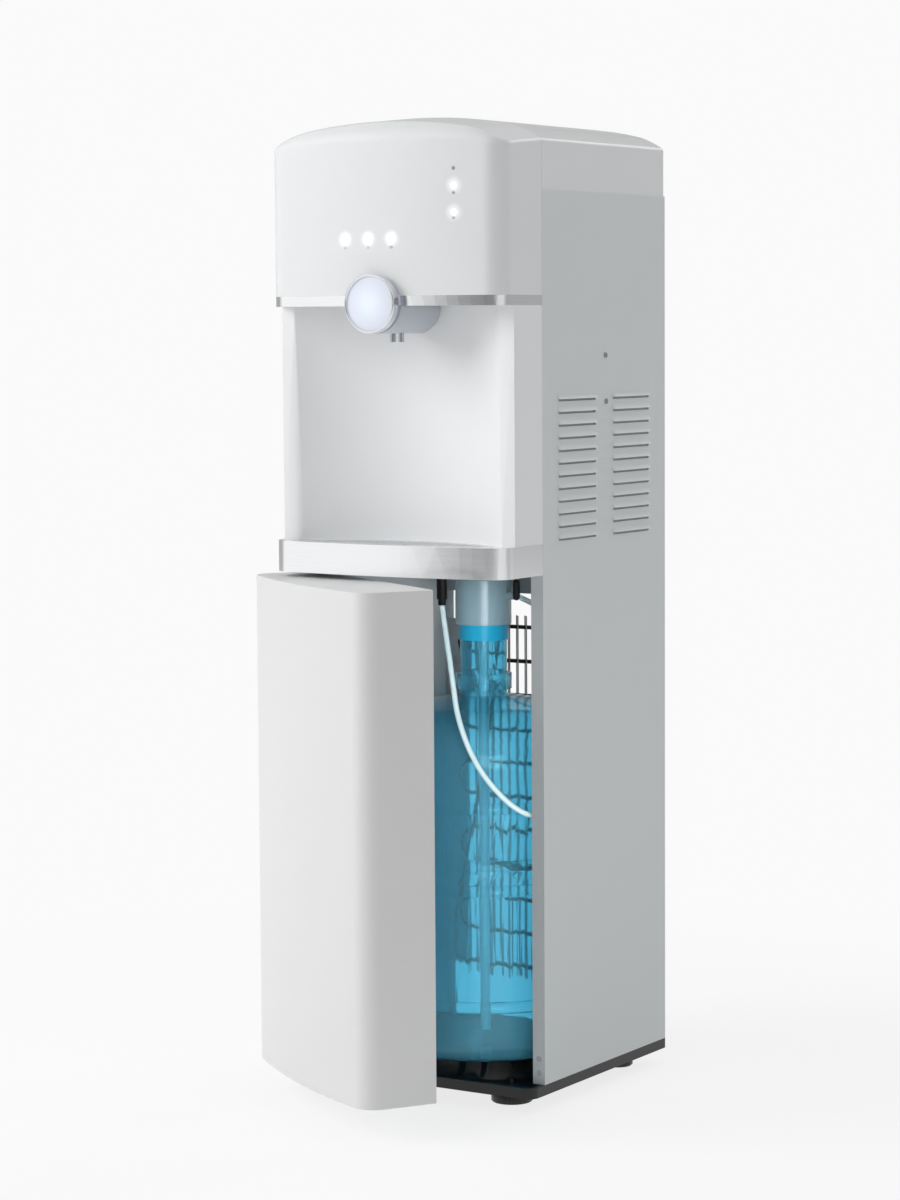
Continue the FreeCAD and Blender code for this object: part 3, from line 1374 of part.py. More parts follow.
def switch_housing(x):
    """Frame and body of a rear rocker switch, with a cavity that its rocker turns in."""
    y0 = rear_y - steel_sheet
    half_x, half_z = switch_body_x / 2, switch_body_z / 2
    body = block(x - half_x, x + half_x, y0 - 16, y0, switch_z - half_z, switch_z + half_z)
    frame = block(x - half_x - switch_frame, x + half_x + switch_frame, y0, y0 + 2.0,
                  switch_z - half_z - switch_frame, switch_z + half_z + switch_frame)
    cavity_half = rocker_half + seat_gap
    cavity = rod(rocker_radius + seat_gap, (x - cavity_half, rocker_pivot_y, switch_z),
                 (x + cavity_half, rocker_pivot_y, switch_z))
    return one(fused([body, frame]).cut(cavity))


def rocker(x):
    """Rocker with two faces that meet at a shallow angle, pressed at its top."""
    left, right = x - rocker_half, x + rocker_half
    body = rod(rocker_radius, (left, rocker_pivot_y, switch_z), (right, rocker_pivot_y, switch_z))
    face_y = rocker_pivot_y + 3.6
    end_y = face_y + 12 * math.tan(math.radians(rocker_tilt_deg))
    wedge = prism([(left - 1, face_y, switch_z), (left - 1, end_y, switch_z + 12),
                   (left - 1, face_y + 20, switch_z + 12), (left - 1, face_y + 20, switch_z - 12),
                   (left - 1, end_y, switch_z - 12)], (2 * rocker_half + 2, 0, 0))
    body = one(body.cut(wedge))
    body.rotate(Vector(x, rocker_pivot_y, switch_z), Vector(1, 0, 0), rocker_tilt_deg)
    return body


# ---------------------------------------------------------------- write every piece
os.makedirs("parts", exist_ok=True)

save("base_plate", base_plate())
save("front_foot_left", front_foot(-1))
save("front_foot_right", front_foot(1))
save("rear_feet", *rear_feet())
save("bottle", bottle())
save("crown_cap", crown_cap())
save("probe_cap", probe_cap())
save("probe_tube", probe())
save("side_panel_left", side_panel(-1))
save("side_panel_right", side_panel(1))
save("rear_panel", rear_panel())
save("screws", *side_screws(), *rear_screws(), *board_screws())
save("lower_deck", lower_deck())
save("tank_deck", tank_deck())
save("door_shell", door_shell())
save("door_liner", door_liner())
save("door_bushes", *door_bushes())
save("hinge_brackets", *hinge_brackets())
save("door_catch", door_catch())
save("tray_band", strip(tray_bottom, tray_top))
save("tray_shelf", tray_shelf())
save("drip_tray", drip_tray())
save("drip_grille", drip_grille())
save("niche_panel", niche_panel())
save("trim_band", trim_band())
save("head_floor", head_floor())
save("head_cover", head_cover())
save("top_cover", top_cover())
save("button_rim", button_rim())
save("button_lens", button_lens())
save("tap_housing", tap_housing())
save("nozzles", nozzle(-1), nozzle(1))
save("valve_body", valve_body())
save("dispense_switch", dispense_switch())
for name, place in zip(("left", "middle", "right"), selector_xs):
    save("selector_" + name, selector(place))
save("indicator_lamps", *indicator_lamps())
save("control_board", control_board())
save("cold_tank", cold_tank())
save("cooling_jacket", cooling_jacket())
save("foam_case", foam_cup(), foam_lid())
save("hot_tank", hot_tank())
save("heater_band", heater_band())
save("thermostats", *thermostats())
save("compressor", compressor())
save("grommets", *grommets())
save("start_relay", start_relay())
save("refrigerant_tubes", suction_tube(), discharge_tube())
save("condenser_tube", condenser_tube())
save("condenser_wires", *condenser_wires())
save("condenser_brackets", condenser_bracket(-1), condenser_bracket(1))
save("pump", pump())
save("hose_fitting", hose_fitting())
save("hose", hose())
save("drain_cap", drain_cap())
save("power_gland", power_gland())
save("switch_housings", *[switch_housing(x) for x in switch_places])
save("rocker_left", rocker(switch_places[0]))
save("rocker_right", rocker(switch_places[1]))
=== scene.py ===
import json
import math

import bpy
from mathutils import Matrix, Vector

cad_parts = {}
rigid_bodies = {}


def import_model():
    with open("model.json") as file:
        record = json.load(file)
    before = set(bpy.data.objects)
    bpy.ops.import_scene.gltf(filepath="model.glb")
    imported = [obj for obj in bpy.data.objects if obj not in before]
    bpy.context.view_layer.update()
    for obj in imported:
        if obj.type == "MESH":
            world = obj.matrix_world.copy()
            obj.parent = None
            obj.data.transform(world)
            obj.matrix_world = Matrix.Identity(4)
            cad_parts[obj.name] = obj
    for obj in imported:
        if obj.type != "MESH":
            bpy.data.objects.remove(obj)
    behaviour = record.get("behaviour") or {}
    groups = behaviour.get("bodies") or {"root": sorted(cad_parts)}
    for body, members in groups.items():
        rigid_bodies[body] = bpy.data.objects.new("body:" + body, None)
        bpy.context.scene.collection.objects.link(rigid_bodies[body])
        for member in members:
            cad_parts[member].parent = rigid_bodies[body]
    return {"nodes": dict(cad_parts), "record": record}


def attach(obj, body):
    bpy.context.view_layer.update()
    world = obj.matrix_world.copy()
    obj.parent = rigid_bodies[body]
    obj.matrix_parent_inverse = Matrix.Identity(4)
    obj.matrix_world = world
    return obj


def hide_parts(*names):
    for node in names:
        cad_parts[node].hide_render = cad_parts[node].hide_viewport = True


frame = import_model()
nodes = frame["nodes"]
bodies = frame["record"]["behaviour"]["bodies"]
slotOf = {part["node"]: part["material_slot"] for part in frame["record"]["subparts"]}
bodyOf = {node: body for body, members in bodies.items() for node in members}
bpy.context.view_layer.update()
mm = 0.001
print("frame loaded")


def linear(hexColor):
    # sRGB hex to the linear values that the shaders take
    parts = [int(hexColor[i:i + 2], 16) / 255 for i in (1, 3, 5)]
    return tuple([c / 12.92 if c <= 0.04045 else ((c + 0.055) / 1.055) ** 2.4 for c in parts] + [1.0])


def addNode(tree, kind, settings=None, links=None):
    node = tree.nodes.new(kind)
    for name, value in (settings or {}).items():
        if isinstance(name, int) or name in node.inputs:
            node.inputs[name].default_value = value
        else:
            setattr(node, name, value)
    for name, socket in (links or {}).items():
        tree.links.new(socket, node.inputs[name])
    return node


def selectOnly(obj):
    for other in bpy.context.view_layer.objects:
        other.select_set(False)
    obj.select_set(True)
    bpy.context.view_layer.objects.active = obj


# camera, where the photograph was taken from
camera = {
    "place": (2.0069, -3.19435, 0.894),
    "turn": 31.78,      # degrees round to the right of the front
    "down": 4.94,
    "roll": -0.30,
    "lens": 97.34,      # mm
    "sensor": 36,
    "shift": -0.0331,   # of the picture's width
}


def addCamera():
    bpy.ops.object.camera_add(location=camera["place"])
    eye = bpy.context.object
    eye.name = "studioCamera"
    turn, down, roll = (math.radians(camera[key]) for key in ("turn", "down", "roll"))
    ahead = Vector((-math.sin(turn) * math.cos(down), math.cos(turn) * math.cos(down), -math.sin(down)))
    eye.rotation_euler = ahead.to_track_quat("-Z", "Y").to_euler()
    eye.rotation_euler.rotate_axis("Z", roll)
    eye.data.lens = camera["lens"]
    eye.data.sensor_width = camera["sensor"]
    eye.data.shift_x = camera["shift"]
    bpy.context.scene.camera = eye


addCamera()

# the draw hose, from the fitting under the deck down past the bottle and round to the cap on its neck
hose = {
    "diameter": 6.4,
    "length": 0.611,    # m, along the route
    "roundness": 5,
    "steps": 16,        # between two points of the route
    "order": 3,
    "route": (
        (13.2, -80.0, 567.7), (20.5, -84.5, 540.0), (35.5, -94.0, 486.0), (47.0, -101.5, 441.0),
        (69.0, -103.0, 395.0), (98.0, -97.0, 358.0), (127.0, -82.0, 333.0), (146.0, -54.0, 333.0),
        (149.0, -22.0, 362.0), (148.0, 2.0, 405.0), (142.0, 22.0, 455.0), (126.0, 30.75, 510.0),
        (96.0, 30.75, 556.0), (46.2, 30.75, 572.3)),
}


def addHose():
    data = bpy.data.curves.new("drawHose", "CURVE")
    data.dimensions = "3D"
    data.bevel_depth = hose["diameter"] / 2 * mm
    data.bevel_resolution = hose["roundness"]
    data.resolution_u = hose["steps"]
    data.use_fill_caps = True
    line = data.splines.new("NURBS")
    line.points.add(len(hose["route"]) - 1)
    for point, place in zip(line.points, hose["route"]):
        point.co = (*[v * mm for v in place], 1)
    line.order_u = hose["order"]
    line.use_endpoint_u = True
    tube = bpy.data.objects.new("drawHose", data)
    bpy.context.collection.objects.link(tube)
    tube.data.materials.append(siliconeTube())
    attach(tube, "cabinet")
    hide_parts("hose")


mixA, mixB, mixResult = 6, 7, 2   # a Mix node's colour sockets, whose names are not its only ones


def newFinish(name, color, roughness, ior=1.5, metallic=0.0):
    # a Principled shader with the plain values that are the same all over the surface
    finish = bpy.data.materials.new(name)
    finish.use_nodes = True
    tree = finish.node_tree
    shader = tree.nodes["Principled BSDF"]
    shader.inputs["Base Color"].default_value = linear(color)
    shader.inputs["Roughness"].default_value = roughness
    shader.inputs["Metallic"].default_value = metallic
    if not metallic:
        shader.inputs["IOR"].default_value = ior
    place = addNode(tree, "ShaderNodeTexCoord")
    return finish, tree, shader, place.outputs["Object"]


texture = {
    "gritDetail": 3.0, "gritStrength": 0.5,
    "slowWaves": 9.0, "slowDetail": 2.0,   # per metre, the slow change of tone and gloss over a piece
    "glossChange": 0.08,
}


def texturedFinish(name, color, roughness, grain=1.0, depth=0.02, tone=0.02, stretch=(1, 1, 1), **more):
    # grain is the real size of the surface's texture in millimetres, depth its height, tone the colour change
    finish, tree, shader, place = newFinish(name, color, roughness, **more)
    size = addNode(tree, "ShaderNodeMapping", {"Scale": tuple(1 / mm / grain * s for s in stretch)},
                   {"Vector": place})
    grit = addNode(tree, "ShaderNodeTexNoise", {"Scale": 1.0, "Detail": texture["gritDetail"]},
                   {"Vector": size.outputs[0]})
    wide = addNode(tree, "ShaderNodeTexNoise",
                   {"Scale": texture["slowWaves"], "Detail": texture["slowDetail"]}, {"Vector": place})
    bump = addNode(tree, "ShaderNodeBump", {"Strength": texture["gritStrength"], "Distance": depth * mm},
                   {"Height": grit.outputs[0]})
    tree.links.new(bump.outputs[0], shader.inputs["Normal"])
    base = linear(color)
    dark = tuple(c * (1 - tone) for c in base[:3]) + (1,)
    mix = addNode(tree, "ShaderNodeMix", {"data_type": "RGBA", mixA: dark, mixB: base}, {0: wide.outputs[0]})
    tree.links.new(mix.outputs[mixResult], shader.inputs["Base Color"])
    change = texture["glossChange"] * roughness
    gloss = addNode(tree, "ShaderNodeMapRange", {"To Min": roughness - change, "To Max": roughness + change},
                    {0: wide.outputs[0]})
    tree.links.new(gloss.outputs[0], shader.inputs["Roughness"])
    return finish


seeThrough = {"silicone": 0.25, "polycarbonate": 0.88, "cap": 0.6}   # share of the light that goes in


def siliconeTube():
    # clear silicone hose, extruded: milky, with a soft highlight
    finish = texturedFinish("siliconeTube", "#DDF3F8", 0.25, grain=4, depth=0.01, ior=1.41)
    shader = finish.node_tree.nodes["Principled BSDF"]
    shader.inputs["Transmission Weight"].default_value = seeThrough["silicone"]
    return finish


aluminium = {
    "streaks": (0.025, 0.025, 2.6),   # per mm along x, y and z: each is long and level
    "streakDetail": 4.0, "streakDepth": 0.01, "streakStrength": 0.2,
    "dark": "#EDEEF0", "light": "#FBFCFD",
    "smooth": 0.14, "rough": 0.24,
}


def brushedAluminium():
    # bright anodised aluminium strip, brushed along its length: fine level streaks in a mirror-like surface
    finish, tree, shader, place = newFinish("brushedAluminium", "#F4F5F7", 0.2, metallic=1.0)
    size = addNode(tree, "ShaderNodeMapping", {"Scale": tuple(s / mm for s in aluminium["streaks"])},
                   {"Vector": place})
    lines = addNode(tree, "ShaderNodeTexNoise", {"Scale": 1.0, "Detail": aluminium["streakDetail"]},
                    {"Vector": size.outputs[0]})
    bump = addNode(tree, "ShaderNodeBump",
                   {"Strength": aluminium["streakStrength"], "Distance": aluminium["streakDepth"] * mm},
                   {"Height": lines.outputs[0]})
    tree.links.new(bump.outputs[0], shader.inputs["Normal"])
    gloss = addNode(tree, "ShaderNodeMapRange", {"To Min": aluminium["smooth"], "To Max": aluminium["rough"]},
                    {0: lines.outputs[0]})
    tree.links.new(gloss.outputs[0], shader.inputs["Roughness"])
    tone = addNode(tree, "ShaderNodeMix",
                   {"data_type": "RGBA", mixA: linear(aluminium["dark"]), mixB: linear(aluminium["light"])},
                   {0: lines.outputs[0]})
    tree.links.new(tone.outputs[mixResult], shader.inputs["Base Color"])
    return finish


ripple = {"width": 25.0, "depth": 0.8, "detail": 2.0, "strength": 0.3}   # mm, in the bottle's blown wall


def bluePolycarbonate():
    # blown polycarbonate bottle: clear blue, its thin wall slightly milky, so that it catches the light
    finish, tree, shader, place = newFinish("bluePolycarbonate", "#8FDDF2", 0.06, ior=1.3)
    shader.inputs["Transmission Weight"].default_value = seeThrough["polycarbonate"]
    wave = addNode(tree, "ShaderNodeTexNoise",
                   {"Scale": 1 / (ripple["width"] * mm), "Detail": ripple["detail"]}, {"Vector": place})
    bump = addNode(tree, "ShaderNodeBump", {"Strength": ripple["strength"], "Distance": ripple["depth"] * mm},
                   {"Height": wave.outputs[0]})
    tree.links.new(bump.outputs[0], shader.inputs["Normal"])
    return finish


def clearCap():
    # moulded polypropylene cap: milky and see-through
    finish = texturedFinish("clearPolypropylene", "#C4E2EC", 0.2, grain=3, depth=0.01, ior=1.49)
    shader = finish.node_tree.nodes["Principled BSDF"]
    shader.inputs["Transmission Weight"].default_value = seeThrough["cap"]
    return finish


panel = {
    "selectors": ((-40.7, 983.6), (-9.7, 983.6), (20.8, 983.6)),   # x and z, mm
    "lamps": ((99.0, 1040.0), (99.0, 1011.1)),
    # haloRadius and haloGlow: a glow painted into the head's plastic round each selector and lamp
    "haloRadius": 11.0, "haloGlow": 0.2,
    "haloInside": 0.4,                         # share of the radius that glows evenly
    "lampGlow": 3.0,
    "ink": "#5C6166",
    "inkInside": 0.55, "inkOutside": 1.25,     # shares of a mark's size between which its edge fades
    "marks": (   # x, z, half width, half height, share of ink
        (-40.7, 974.2, 2.6, 1.7, 0.35), (-9.7, 974.2, 2.2, 1.7, 0.3), (20.8, 974.2, 2.8, 1.8, 0.5),
        (99.0, 1058.8, 2.2, 2.2, 0.75), (99.0, 1032.2, 2.2, 1.8, 0.75), (99.0, 1004.8, 2.2, 1.6, 0.6),
    ),
}


def nearSpot(tree, place, x, z, halfWidth, halfHeight):
    # 0 at the spot's middle, 1 at its edge, seen from the front
    away = addNode(tree, "ShaderNodeVectorMath",
                   {"operation": "SUBTRACT", 1: (x * mm, 0, z * mm)}, {0: place})
    flat = addNode(tree, "ShaderNodeVectorMath",
                   {"operation": "MULTIPLY", 1: (1 / (halfWidth * mm), 0, 1 / (halfHeight * mm))},
                   {0: away.outputs[0]})
    far = addNode(tree, "ShaderNodeVectorMath", {"operation": "LENGTH"}, {0: flat.outputs[0]})
    return far.outputs["Value"]


def printedHead():
    # the head's moulded gloss ABS, with plain dark marks and a painted glow round its lights, which stands in
    # for their light spreading in the plastic
    finish = texturedFinish("printedGlossAbs", "#F0F2F3", 0.24, grain=1.2, depth=0.003)
    tree = finish.node_tree
    shader = tree.nodes["Principled BSDF"]
    place = tree.nodes["Texture Coordinate"].outputs["Object"]
    under = shader.inputs["Base Color"].links[0].from_socket
    for x, z, halfWidth, halfHeight, ink in panel["marks"]:
        near = nearSpot(tree, place, x, z, halfWidth, halfHeight)
        share = addNode(tree, "ShaderNodeMapRange",
                        {"From Min": panel["inkInside"], "From Max": panel["inkOutside"], "To Min": ink,
                         "To Max": 0.0}, {0: near})
        inked = addNode(tree, "ShaderNodeMix", {"data_type": "RGBA", mixB: linear(panel["ink"])},
                        {0: share.outputs[0], mixA: under})
        under = inked.outputs[mixResult]
    tree.links.new(under, shader.inputs["Base Color"])
    # painted glow: the head's cover itself emits light round each selector and lamp
    glow = None
    for x, z in panel["selectors"] + panel["lamps"]:
        near = nearSpot(tree, place, x, z, panel["haloRadius"], panel["haloRadius"])
        share = addNode(tree, "ShaderNodeMapRange",
                        {"From Min": panel["haloInside"], "From Max": 1.0, "To Min": panel["haloGlow"],
                         "To Max": 0.0}, {0: near})
        glow = share.outputs[0] if glow is None else addNode(
            tree, "ShaderNodeMath", {"operation": "MAXIMUM"}, {0: glow, 1: share.outputs[0]}).outputs[0]
    tree.links.new(glow, shader.inputs["Emission Strength"])
    shader.inputs["Emission Color"].default_value = linear("#FFFFFF")
    return finish


lens = {"centre": (0, 912.0), "radius": 29.8, "middle": "#EAF4FF", "rim": "#D6DAE6", "glow": 0.2}


def litLens():
    # opal acrylic disc lit from behind: white at the middle, cooler to its rim
    finish, tree, shader, place = newFinish("litOpalAcrylic", "#E8EEF8", 0.18, ior=1.49)
    ramp = addNode(tree, "ShaderNodeValToRGB", {},
                   {0: nearSpot(tree, place, *lens["centre"], lens["radius"], lens["radius"])})
    ramp.color_ramp.elements[0].color = linear(lens["middle"])
    ramp.color_ramp.elements[1].color = linear(lens["rim"])
    tree.links.new(ramp.outputs[0], shader.inputs["Emission Color"])
    tree.links.new(ramp.outputs[0], shader.inputs["Base Color"])
    shader.inputs["Emission Strength"].default_value = lens["glow"]
    return finish


def litLamp():
    # clear diode window, lit: plain white
    finish = newFinish("litWhiteDiode", "#FFFFFF", 0.3)[0]
    shader = finish.node_tree.nodes["Principled BSDF"]
    shader.inputs["Emission Color"].default_value = linear("#FFFFFF")
    shader.inputs["Emission Strength"].default_value = panel["lampGlow"]
    return finish


finishes = {
    # ABS from a polished mould: cool white with a soft gleam
    "head_white": texturedFinish("glossAbs", "#EFF1F2", 0.26, grain=1.2, depth=0.004),
    # ABS from a finely blasted mould: white with hardly a gleam
    "niche_white": texturedFinish("satinAbs", "#F6F7F8", 0.4, grain=0.8, depth=0.01, ior=1.54),
    # ABS from a blasted mould: a duller, neutral white
    "door_white": texturedFinish("pearlAbs", "#EAEAEA", 0.42, grain=0.8, depth=0.01, ior=1.54),
    # drawn ABS sheet: soft, with a slightly uneven surface
    "liner_white": texturedFinish("thermoformedAbs", "#E2E4E6", 0.45, grain=1.5, depth=0.02),
    # turned acetal: waxy off-white
    "bush_white": texturedFinish("acetal", "#E6E6E4", 0.4, grain=0.8),
    # powder-coated sheet steel: cool pale grey with a fine orange peel
    "coated_steel": texturedFinish("powderCoatedSteel", "#DEE3E4", 0.45, grain=0.7, depth=0.03),
    # galvanised sheet steel: grey with broad, faint spangles
    "galvanised": texturedFinish("galvanisedSteel", "#C6C9CB", 0.45, grain=12, depth=0.01,
                                 tone=0.15, metallic=0.5),
    # zinc-plated steel screws: dull metal
    "screw_steel": texturedFinish("zincPlatedSteel", "#9EA1A4", 0.35, grain=1, metallic=1.0),
    # moulded polypropylene base: black with a dull sheen
    "black_base": texturedFinish("blackPolypropylene", "#101112", 0.4, grain=0.8, depth=0.03, tone=0.2),
    # moulded nylon feet: black, a little glossier
    "black_foot": texturedFinish("blackNylon", "#141516", 0.35, grain=0.8, depth=0.03, tone=0.2),
    # moulded ABS: satin black
    "black_part": texturedFinish("blackAbs", "#121314", 0.4, grain=0.8, depth=0.02, tone=0.2),
    # moulded rubber: black, almost without a highlight
    "catch_rubber": texturedFinish("blackRubber", "#0E0E0F", 0.6, grain=1, depth=0.03, tone=0.2),
    "brushed_band": brushedAluminium(),
    # chrome-plated ABS ring: a mirror
    "button_chrome": texturedFinish("chromedAbs", "#E4E6EA", 0.08, grain=6, depth=0.002, metallic=1.0),
    "button_glow": litLens(),
    "lamp_white": litLamp(),
    # moulded ABS tap housing: blue-grey, fairly glossy
    "housing_grey": texturedFinish("greyAbs", "#C5CBD3", 0.3, grain=1, depth=0.01),
    # drawn stainless tube: sharp highlights along it
    "nozzle_steel": texturedFinish("stainlessTube", "#BFC3C8", 0.2, grain=2, metallic=1.0),
    # moulded polypropylene tray: pale grey, satin
    "tray_grey": texturedFinish("palePolypropylene", "#E3E6E9", 0.4, grain=1, depth=0.02),
    # moulded polystyrene grille: pale grey, a little glossier
    "grille_grey": texturedFinish("palePolystyrene", "#DDE0E3", 0.35, grain=1, depth=0.02),
    "blue_bottle": bluePolycarbonate(),
    # moulded polyethylene cap: turquoise with a soft gleam
    "teal_cap": texturedFinish("tealPolyethylene", "#22A3CB", 0.3, grain=1, depth=0.02),
    "clear_cap": clearCap(),
    # extruded polypropylene tube: milky white
    "probe_white": texturedFinish("naturalPolypropylene", "#E4EAEC", 0.35, grain=1, depth=0.01),
    # circuit board under solder mask: dark green and uneven in tone
    "board_green": texturedFinish("solderMaskedBoard", "#1E5B3A", 0.35, grain=1.5, depth=0.02, tone=0.2),
    # deep-drawn stainless tank: faint upright draw marks
    "tank_steel": texturedFinish("drawnStainless", "#C2C5C8", 0.28, grain=2, stretch=(1, 1, 0.1),
                                 metallic=1.0),
    # wrapped copper sheet: warm, slightly stained metal
    "copper_jacket": texturedFinish("copperSheet", "#B87352", 0.35, grain=3, depth=0.02, tone=0.15,
                                    metallic=1.0),
    # expanded polystyrene: matt white with beads of 4 mm
    "foam_white": texturedFinish("expandedPolystyrene", "#EFEFEC", 0.8, grain=4, depth=0.4, tone=0.06),
    # rolled stainless band: dull metal
    "heater_steel": texturedFinish("mattStainless", "#9FA2A4", 0.4, grain=2, metallic=1.0),
    # enamelled steel shell: deep black with a clear gleam
    "compressor_black": texturedFinish("blackEnamel", "#0D0E0F", 0.22, grain=2, depth=0.02, tone=0.2),
    # enamelled tube: black, satin
    "tube_black": texturedFinish("blackEnamelTube", "#101112", 0.35, grain=2, depth=0.02, tone=0.2),
    # dip-painted steel wire: mid grey, satin
    "wire_grey": texturedFinish("coatedWire", "#9B9C9A", 0.4, grain=2, tone=0.1),
    # moulded nylon pump: off-white, dull
    "pump_white": texturedFinish("whiteNylon", "#DCDEE0", 0.45, grain=1, depth=0.03),
    # moulded ABS rocker: glossy green
    "rocker_green": texturedFinish("greenAbs", "#1F7A3A", 0.3, grain=1, depth=0.01),
    # moulded ABS rocker: glossy red
    "rocker_red": texturedFinish("redAbs", "#A81E1E", 0.3, grain=1, depth=0.01),
}
addHose()
print("camera, hose and finishes made")


smoothing = {
    "joinWithin": 0.005,               # mm
    "sharpAngle": 28,                  # degrees
    "headCuts": range(930, 1100, 10),  # heights in mm, across the head's long triangles
}


def smoothCopy(name, finish=None, levels=()):
    # the CAD node's own form as one joined mesh, so that its curved faces shade smoothly
    data = nodes[name].data.copy()
    piece = bpy.data.objects.new(name + "Shell", data)
    bpy.context.collection.objects.link(piece)
    selectOnly(piece)
    bpy.ops.object.mode_set(mode="EDIT")
    bpy.ops.mesh.select_all(action="SELECT")
    bpy.ops.mesh.remove_doubles(threshold=smoothing["joinWithin"] * mm)
    for level in levels:   # long triangles would shade unevenly
        bpy.ops.mesh.select_all(action="SELECT")
        bpy.ops.mesh.bisect(plane_co=(0, 0, level * mm), plane_no=(0, 0, 1))
    bpy.ops.object.mode_set(mode="OBJECT")
    bpy.ops.object.shade_smooth_by_angle(angle=math.radians(smoothing["sharpAngle"]))
    shading = piece.modifiers.new("evenShading", "WEIGHTED_NORMAL")
    shading.keep_sharp = True
    bpy.ops.object.modifier_apply(modifier=shading.name)
    data.materials.clear()
    data.materials.append(finish or finishes[slotOf[name]])
    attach(piece, bodyOf[name])
    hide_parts(name)


keepAsCad = ("screws", "condenser_wires", "control_board", "lower_deck", "tank_deck")
for name in sorted(nodes):
    if name == "hose":
        continue
    if name in keepAsCad:
        nodes[name].data.materials.clear()
        nodes[name].data.materials.append(finishes[slotOf[name]])
    elif name == "head_cover":
        smoothCopy(name, printedHead(), smoothing["headCuts"])
    else:
        smoothCopy(name)
print("frame pieces dressed")

# two sheets that stand in for the shade inside the cabinet, behind the louvres
shadeSheet = {
    "sheet": 0.5,
    "front": -62.0, "back": 158.0,
    "low": 644.0, "high": 814.0,
    "insideFace": 153.6,   # the side panel's, from the middle of the cabinet
}
# a pale, matt and blotchy sheet which stands in for the shade inside the cabinet behind the louvres
shadeSheetFinish = texturedFinish("shadeSheetMatt", "#C9CDCF", 0.7, grain=1.2, depth=0.3, tone=0.3)


def addShadeSheet(name, side):
    # a sheet behind the louvres, put where there is only shade: it keeps the cabinet's inside out of sight,
    # so that the slots show shade
    x = side * (shadeSheet["insideFace"] - shadeSheet["sheet"] / 2) * mm
    y, z = (shadeSheet["front"] + shadeSheet["back"]) / 2 * mm, (shadeSheet["low"] + shadeSheet["high"]) / 2 * mm
    bpy.ops.mesh.primitive_cube_add(size=1, location=(x, y, z))
    piece = bpy.context.object
    piece.name = name
    length, height = shadeSheet["back"] - shadeSheet["front"], shadeSheet["high"] - shadeSheet["low"]
    piece.scale = (shadeSheet["sheet"] * mm, length * mm, height * mm)
    bpy.ops.object.transform_apply(location=True, rotation=True, scale=True)
    piece.data.materials.append(shadeSheetFinish)
    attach(piece, "cabinet")


addShadeSheet("louvreGauzeRight", 1)
addShadeSheet("louvreGauzeLeft", -1)
print("gauze added")

studio = {
    "floorSize": 11.0,   # m
    "backdrop": "#FAFAFA",
    "ambient": 0.4,
    # what the metal reflects: degrees round from the front, brightness
    "sides": ((-180, 0.42), (-78, 0.42), (-64, 1.0), (-28, 1.0), (-18, 0.24), (46, 0.24), (58, 0.72),
              (92, 0.72), (106, 0.36), (180, 0.42)),
    "sidesFade": (0.35, 0.6),   # sine of the rise, from the sides' greys to the backdrop
    "shadowNear": 0.5, "shadowFar": 1.3,   # m from the middle, between which the floor's shadow fades out
    "shadowShare": 0.2, "floorGlow": 0.83,
}
# round and rise are the lamp's place in degrees from the front, far and size are in metres, power in watts
softboxes = {
    "key": {"round": -46, "rise": 28, "far": 4.2, "size": 2.6, "power": 98.0, "aimAt": (0, 0, 0.7)},
    "side": {"round": 100, "rise": 40, "far": 3.0, "size": 0.9, "power": 0.7, "aimAt": (0.155, -0.1, 0.7),
             "spread": 60},
    "rim": {"round": 165, "rise": 28, "far": 4.2, "size": 2.2, "power": 34.0, "aimAt": (0.1, 0, 0.8),
            "gleams": True},   # from behind, along the edges
    "bay": {"round": 38, "rise": 8, "far": 2.6, "size": 1.2, "power": 60.0, "aimAt": (0, 0, 0.35),
            "pieces": ("bottle", "crown_cap", "probe_cap", "probe_tube", "condenser_wires", "condenser_tube",
                       "refrigerant_tubes", "lower_deck", "condenser_brackets", "side_panel_left")},
}


def shownRays(tree):
    # 1 for what is seen straight, through glass or in a reflection
    seen = addNode(tree, "ShaderNodeLightPath")
    clear = addNode(tree, "ShaderNodeMath", {"operation": "MAXIMUM"},
                    {0: seen.outputs["Is Camera Ray"], 1: seen.outputs["Is Transmission Ray"]})
    shown = addNode(tree, "ShaderNodeMath", {"operation": "MAXIMUM"},
                    {0: clear.outputs[0], 1: seen.outputs["Is Glossy Ray"]})
    return shown.outputs[0]


def addFloor():
    bpy.ops.mesh.primitive_plane_add(size=studio["floorSize"])
    floor = bpy.context.object
    floor.name = "studioFloor"
    paper = bpy.data.materials.new("whitePaper")   # matt paper: white, with a faint shadow near the object
    paper.use_nodes = True
    tree = paper.node_tree
    tree.nodes.clear()
    backdrop = linear(studio["backdrop"])
    place = addNode(tree, "ShaderNodeTexCoord").outputs["Object"]
    far = addNode(tree, "ShaderNodeVectorMath", {"operation": "LENGTH"}, {0: place})
    near = addNode(tree, "ShaderNodeMapRange",
                   {"interpolation_type": "SMOOTHSTEP", "From Min": studio["shadowNear"],
                    "From Max": studio["shadowFar"], "To Min": 1.0, "To Max": 0.0}, {0: far.outputs["Value"]})
    glow = addNode(tree, "ShaderNodeEmission", {"Color": backdrop})
    dim = addNode(tree, "ShaderNodeEmission", {"Color": backdrop, "Strength": studio["floorGlow"]})
    share = studio["shadowShare"]
    faint = addNode(tree, "ShaderNodeBsdfDiffuse", {"Color": (share, share, share, 1)})
    shaded = addNode(tree, "ShaderNodeAddShader", {}, {0: dim.outputs[0], 1: faint.outputs[0]})
    both = addNode(tree, "ShaderNodeMixShader", {},
                   {0: near.outputs[0], 1: glow.outputs[0], 2: shaded.outputs[0]})
    matt = addNode(tree, "ShaderNodeBsdfDiffuse", {"Color": linear("#FFFFFF")})
    pick = addNode(tree, "ShaderNodeMixShader", {},
                   {0: shownRays(tree), 1: matt.outputs[0], 2: both.outputs[0]})
    addNode(tree, "ShaderNodeOutputMaterial", {}, {0: pick.outputs[0]})
    floor.data.materials.append(paper)


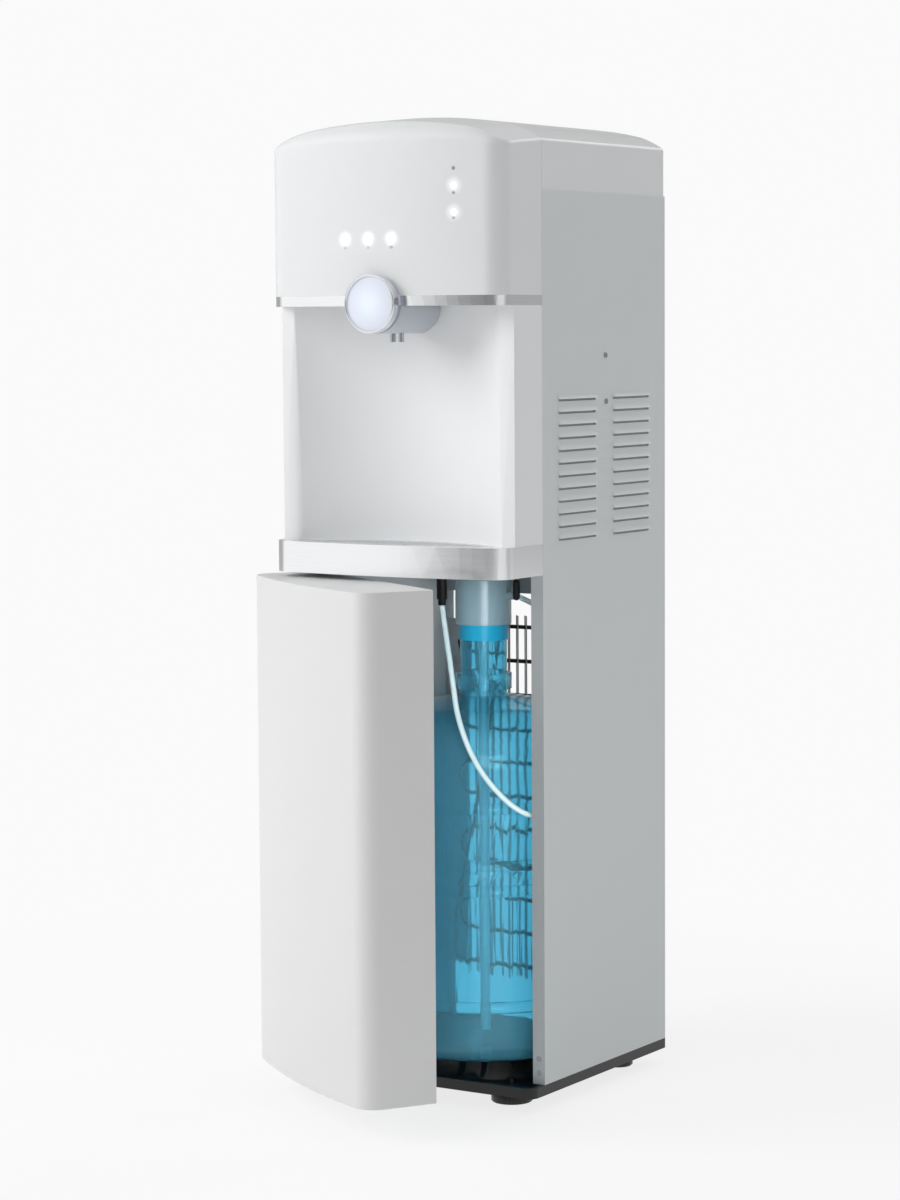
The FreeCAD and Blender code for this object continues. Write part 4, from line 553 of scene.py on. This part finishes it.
def addAir():
    world = bpy.data.worlds.new("studioAir")
    bpy.context.scene.world = world
    world.use_nodes = True
    tree = world.node_tree
    tree.nodes.clear()
    white = linear(studio["backdrop"])
    soft = addNode(tree, "ShaderNodeBackground", {"Color": linear("#FFFFFF"), "Strength": studio["ambient"]})
    plain = addNode(tree, "ShaderNodeBackground", {"Color": white, "Strength": 1.0})
    place = addNode(tree, "ShaderNodeTexCoord").outputs["Generated"]
    way = addNode(tree, "ShaderNodeSeparateXYZ", {}, {0: place})
    front = addNode(tree, "ShaderNodeMath", {"operation": "MULTIPLY", 1: -1.0}, {0: way.outputs["Y"]})
    turn = addNode(tree, "ShaderNodeMath", {"operation": "ARCTAN2"},
                   {0: way.outputs["X"], 1: front.outputs[0]})
    part = addNode(tree, "ShaderNodeMapRange",
                   {"From Min": -math.pi, "From Max": math.pi, "To Min": 0.0, "To Max": 1.0},
                   {0: turn.outputs[0]})
    ramp = addNode(tree, "ShaderNodeValToRGB", {}, {0: part.outputs[0]})
    stops = ramp.color_ramp.elements
    for degrees, _ in studio["sides"][len(stops):]:
        stops.new((degrees + 180) / 360)
    for stop, (degrees, level) in zip(stops, studio["sides"]):
        stop.position = (degrees + 180) / 360
        stop.color = (level, level, level, 1)
    low, top = studio["sidesFade"]
    high = addNode(tree, "ShaderNodeMapRange",
                   {"From Min": low, "From Max": top, "To Min": 0.0, "To Max": 1.0}, {0: way.outputs["Z"]})
    sides = addNode(tree, "ShaderNodeMix", {"data_type": "RGBA", mixB: white},
                    {0: high.outputs[0], mixA: ramp.outputs[0]})
    gleam = addNode(tree, "ShaderNodeBackground", {"Strength": 1.0}, {"Color": sides.outputs[mixResult]})
    seen = addNode(tree, "ShaderNodeLightPath")
    mirrored = addNode(tree, "ShaderNodeMixShader", {},
                       {0: seen.outputs["Is Glossy Ray"], 1: plain.outputs[0], 2: gleam.outputs[0]})
    pick = addNode(tree, "ShaderNodeMixShader", {},
                   {0: shownRays(tree), 1: soft.outputs[0], 2: mirrored.outputs[0]})
    addNode(tree, "ShaderNodeOutputWorld", {}, {0: pick.outputs[0]})


def litPieces(names):
    # the CAD nodes of these names, their smooth copies and the hose
    wanted = [name + end for name in names for end in ("", "Shell")] + ["drawHose"]
    return [piece for piece in bpy.data.objects if piece.name in wanted]


def addSoftbox(kind):
    box = softboxes[kind]
    turn, rise = math.radians(box["round"]), math.radians(box["rise"])
    aimAt = Vector(box["aimAt"])
    away = Vector((math.sin(turn) * math.cos(rise), -math.cos(turn) * math.cos(rise), math.sin(rise)))
    place = aimAt + box["far"] * away
    bpy.ops.object.light_add(type="AREA", location=place)
    lamp = bpy.context.object
    lamp.name = kind + "Softbox"
    lamp.data.size = box["size"]
    lamp.data.energy = box["power"]
    lamp.data.spread = math.radians(box.get("spread", 180))
    lamp.rotation_euler = (aimAt - place).to_track_quat("-Z", "Y").to_euler()
    lamp.visible_camera = False
    lamp.visible_glossy = box.get("gleams", False)
    if "pieces" in box:   # this lamp reaches nothing else
        lit = bpy.data.collections.new(kind + "Lit")
        for piece in litPieces(box["pieces"]):
            lit.objects.link(piece)
        lamp.light_linking.receiver_collection = lit


addFloor()
addAir()
for kind in softboxes:
    addSoftbox(kind)
bpy.context.scene.view_settings.view_transform = "Standard"
print("studio set")
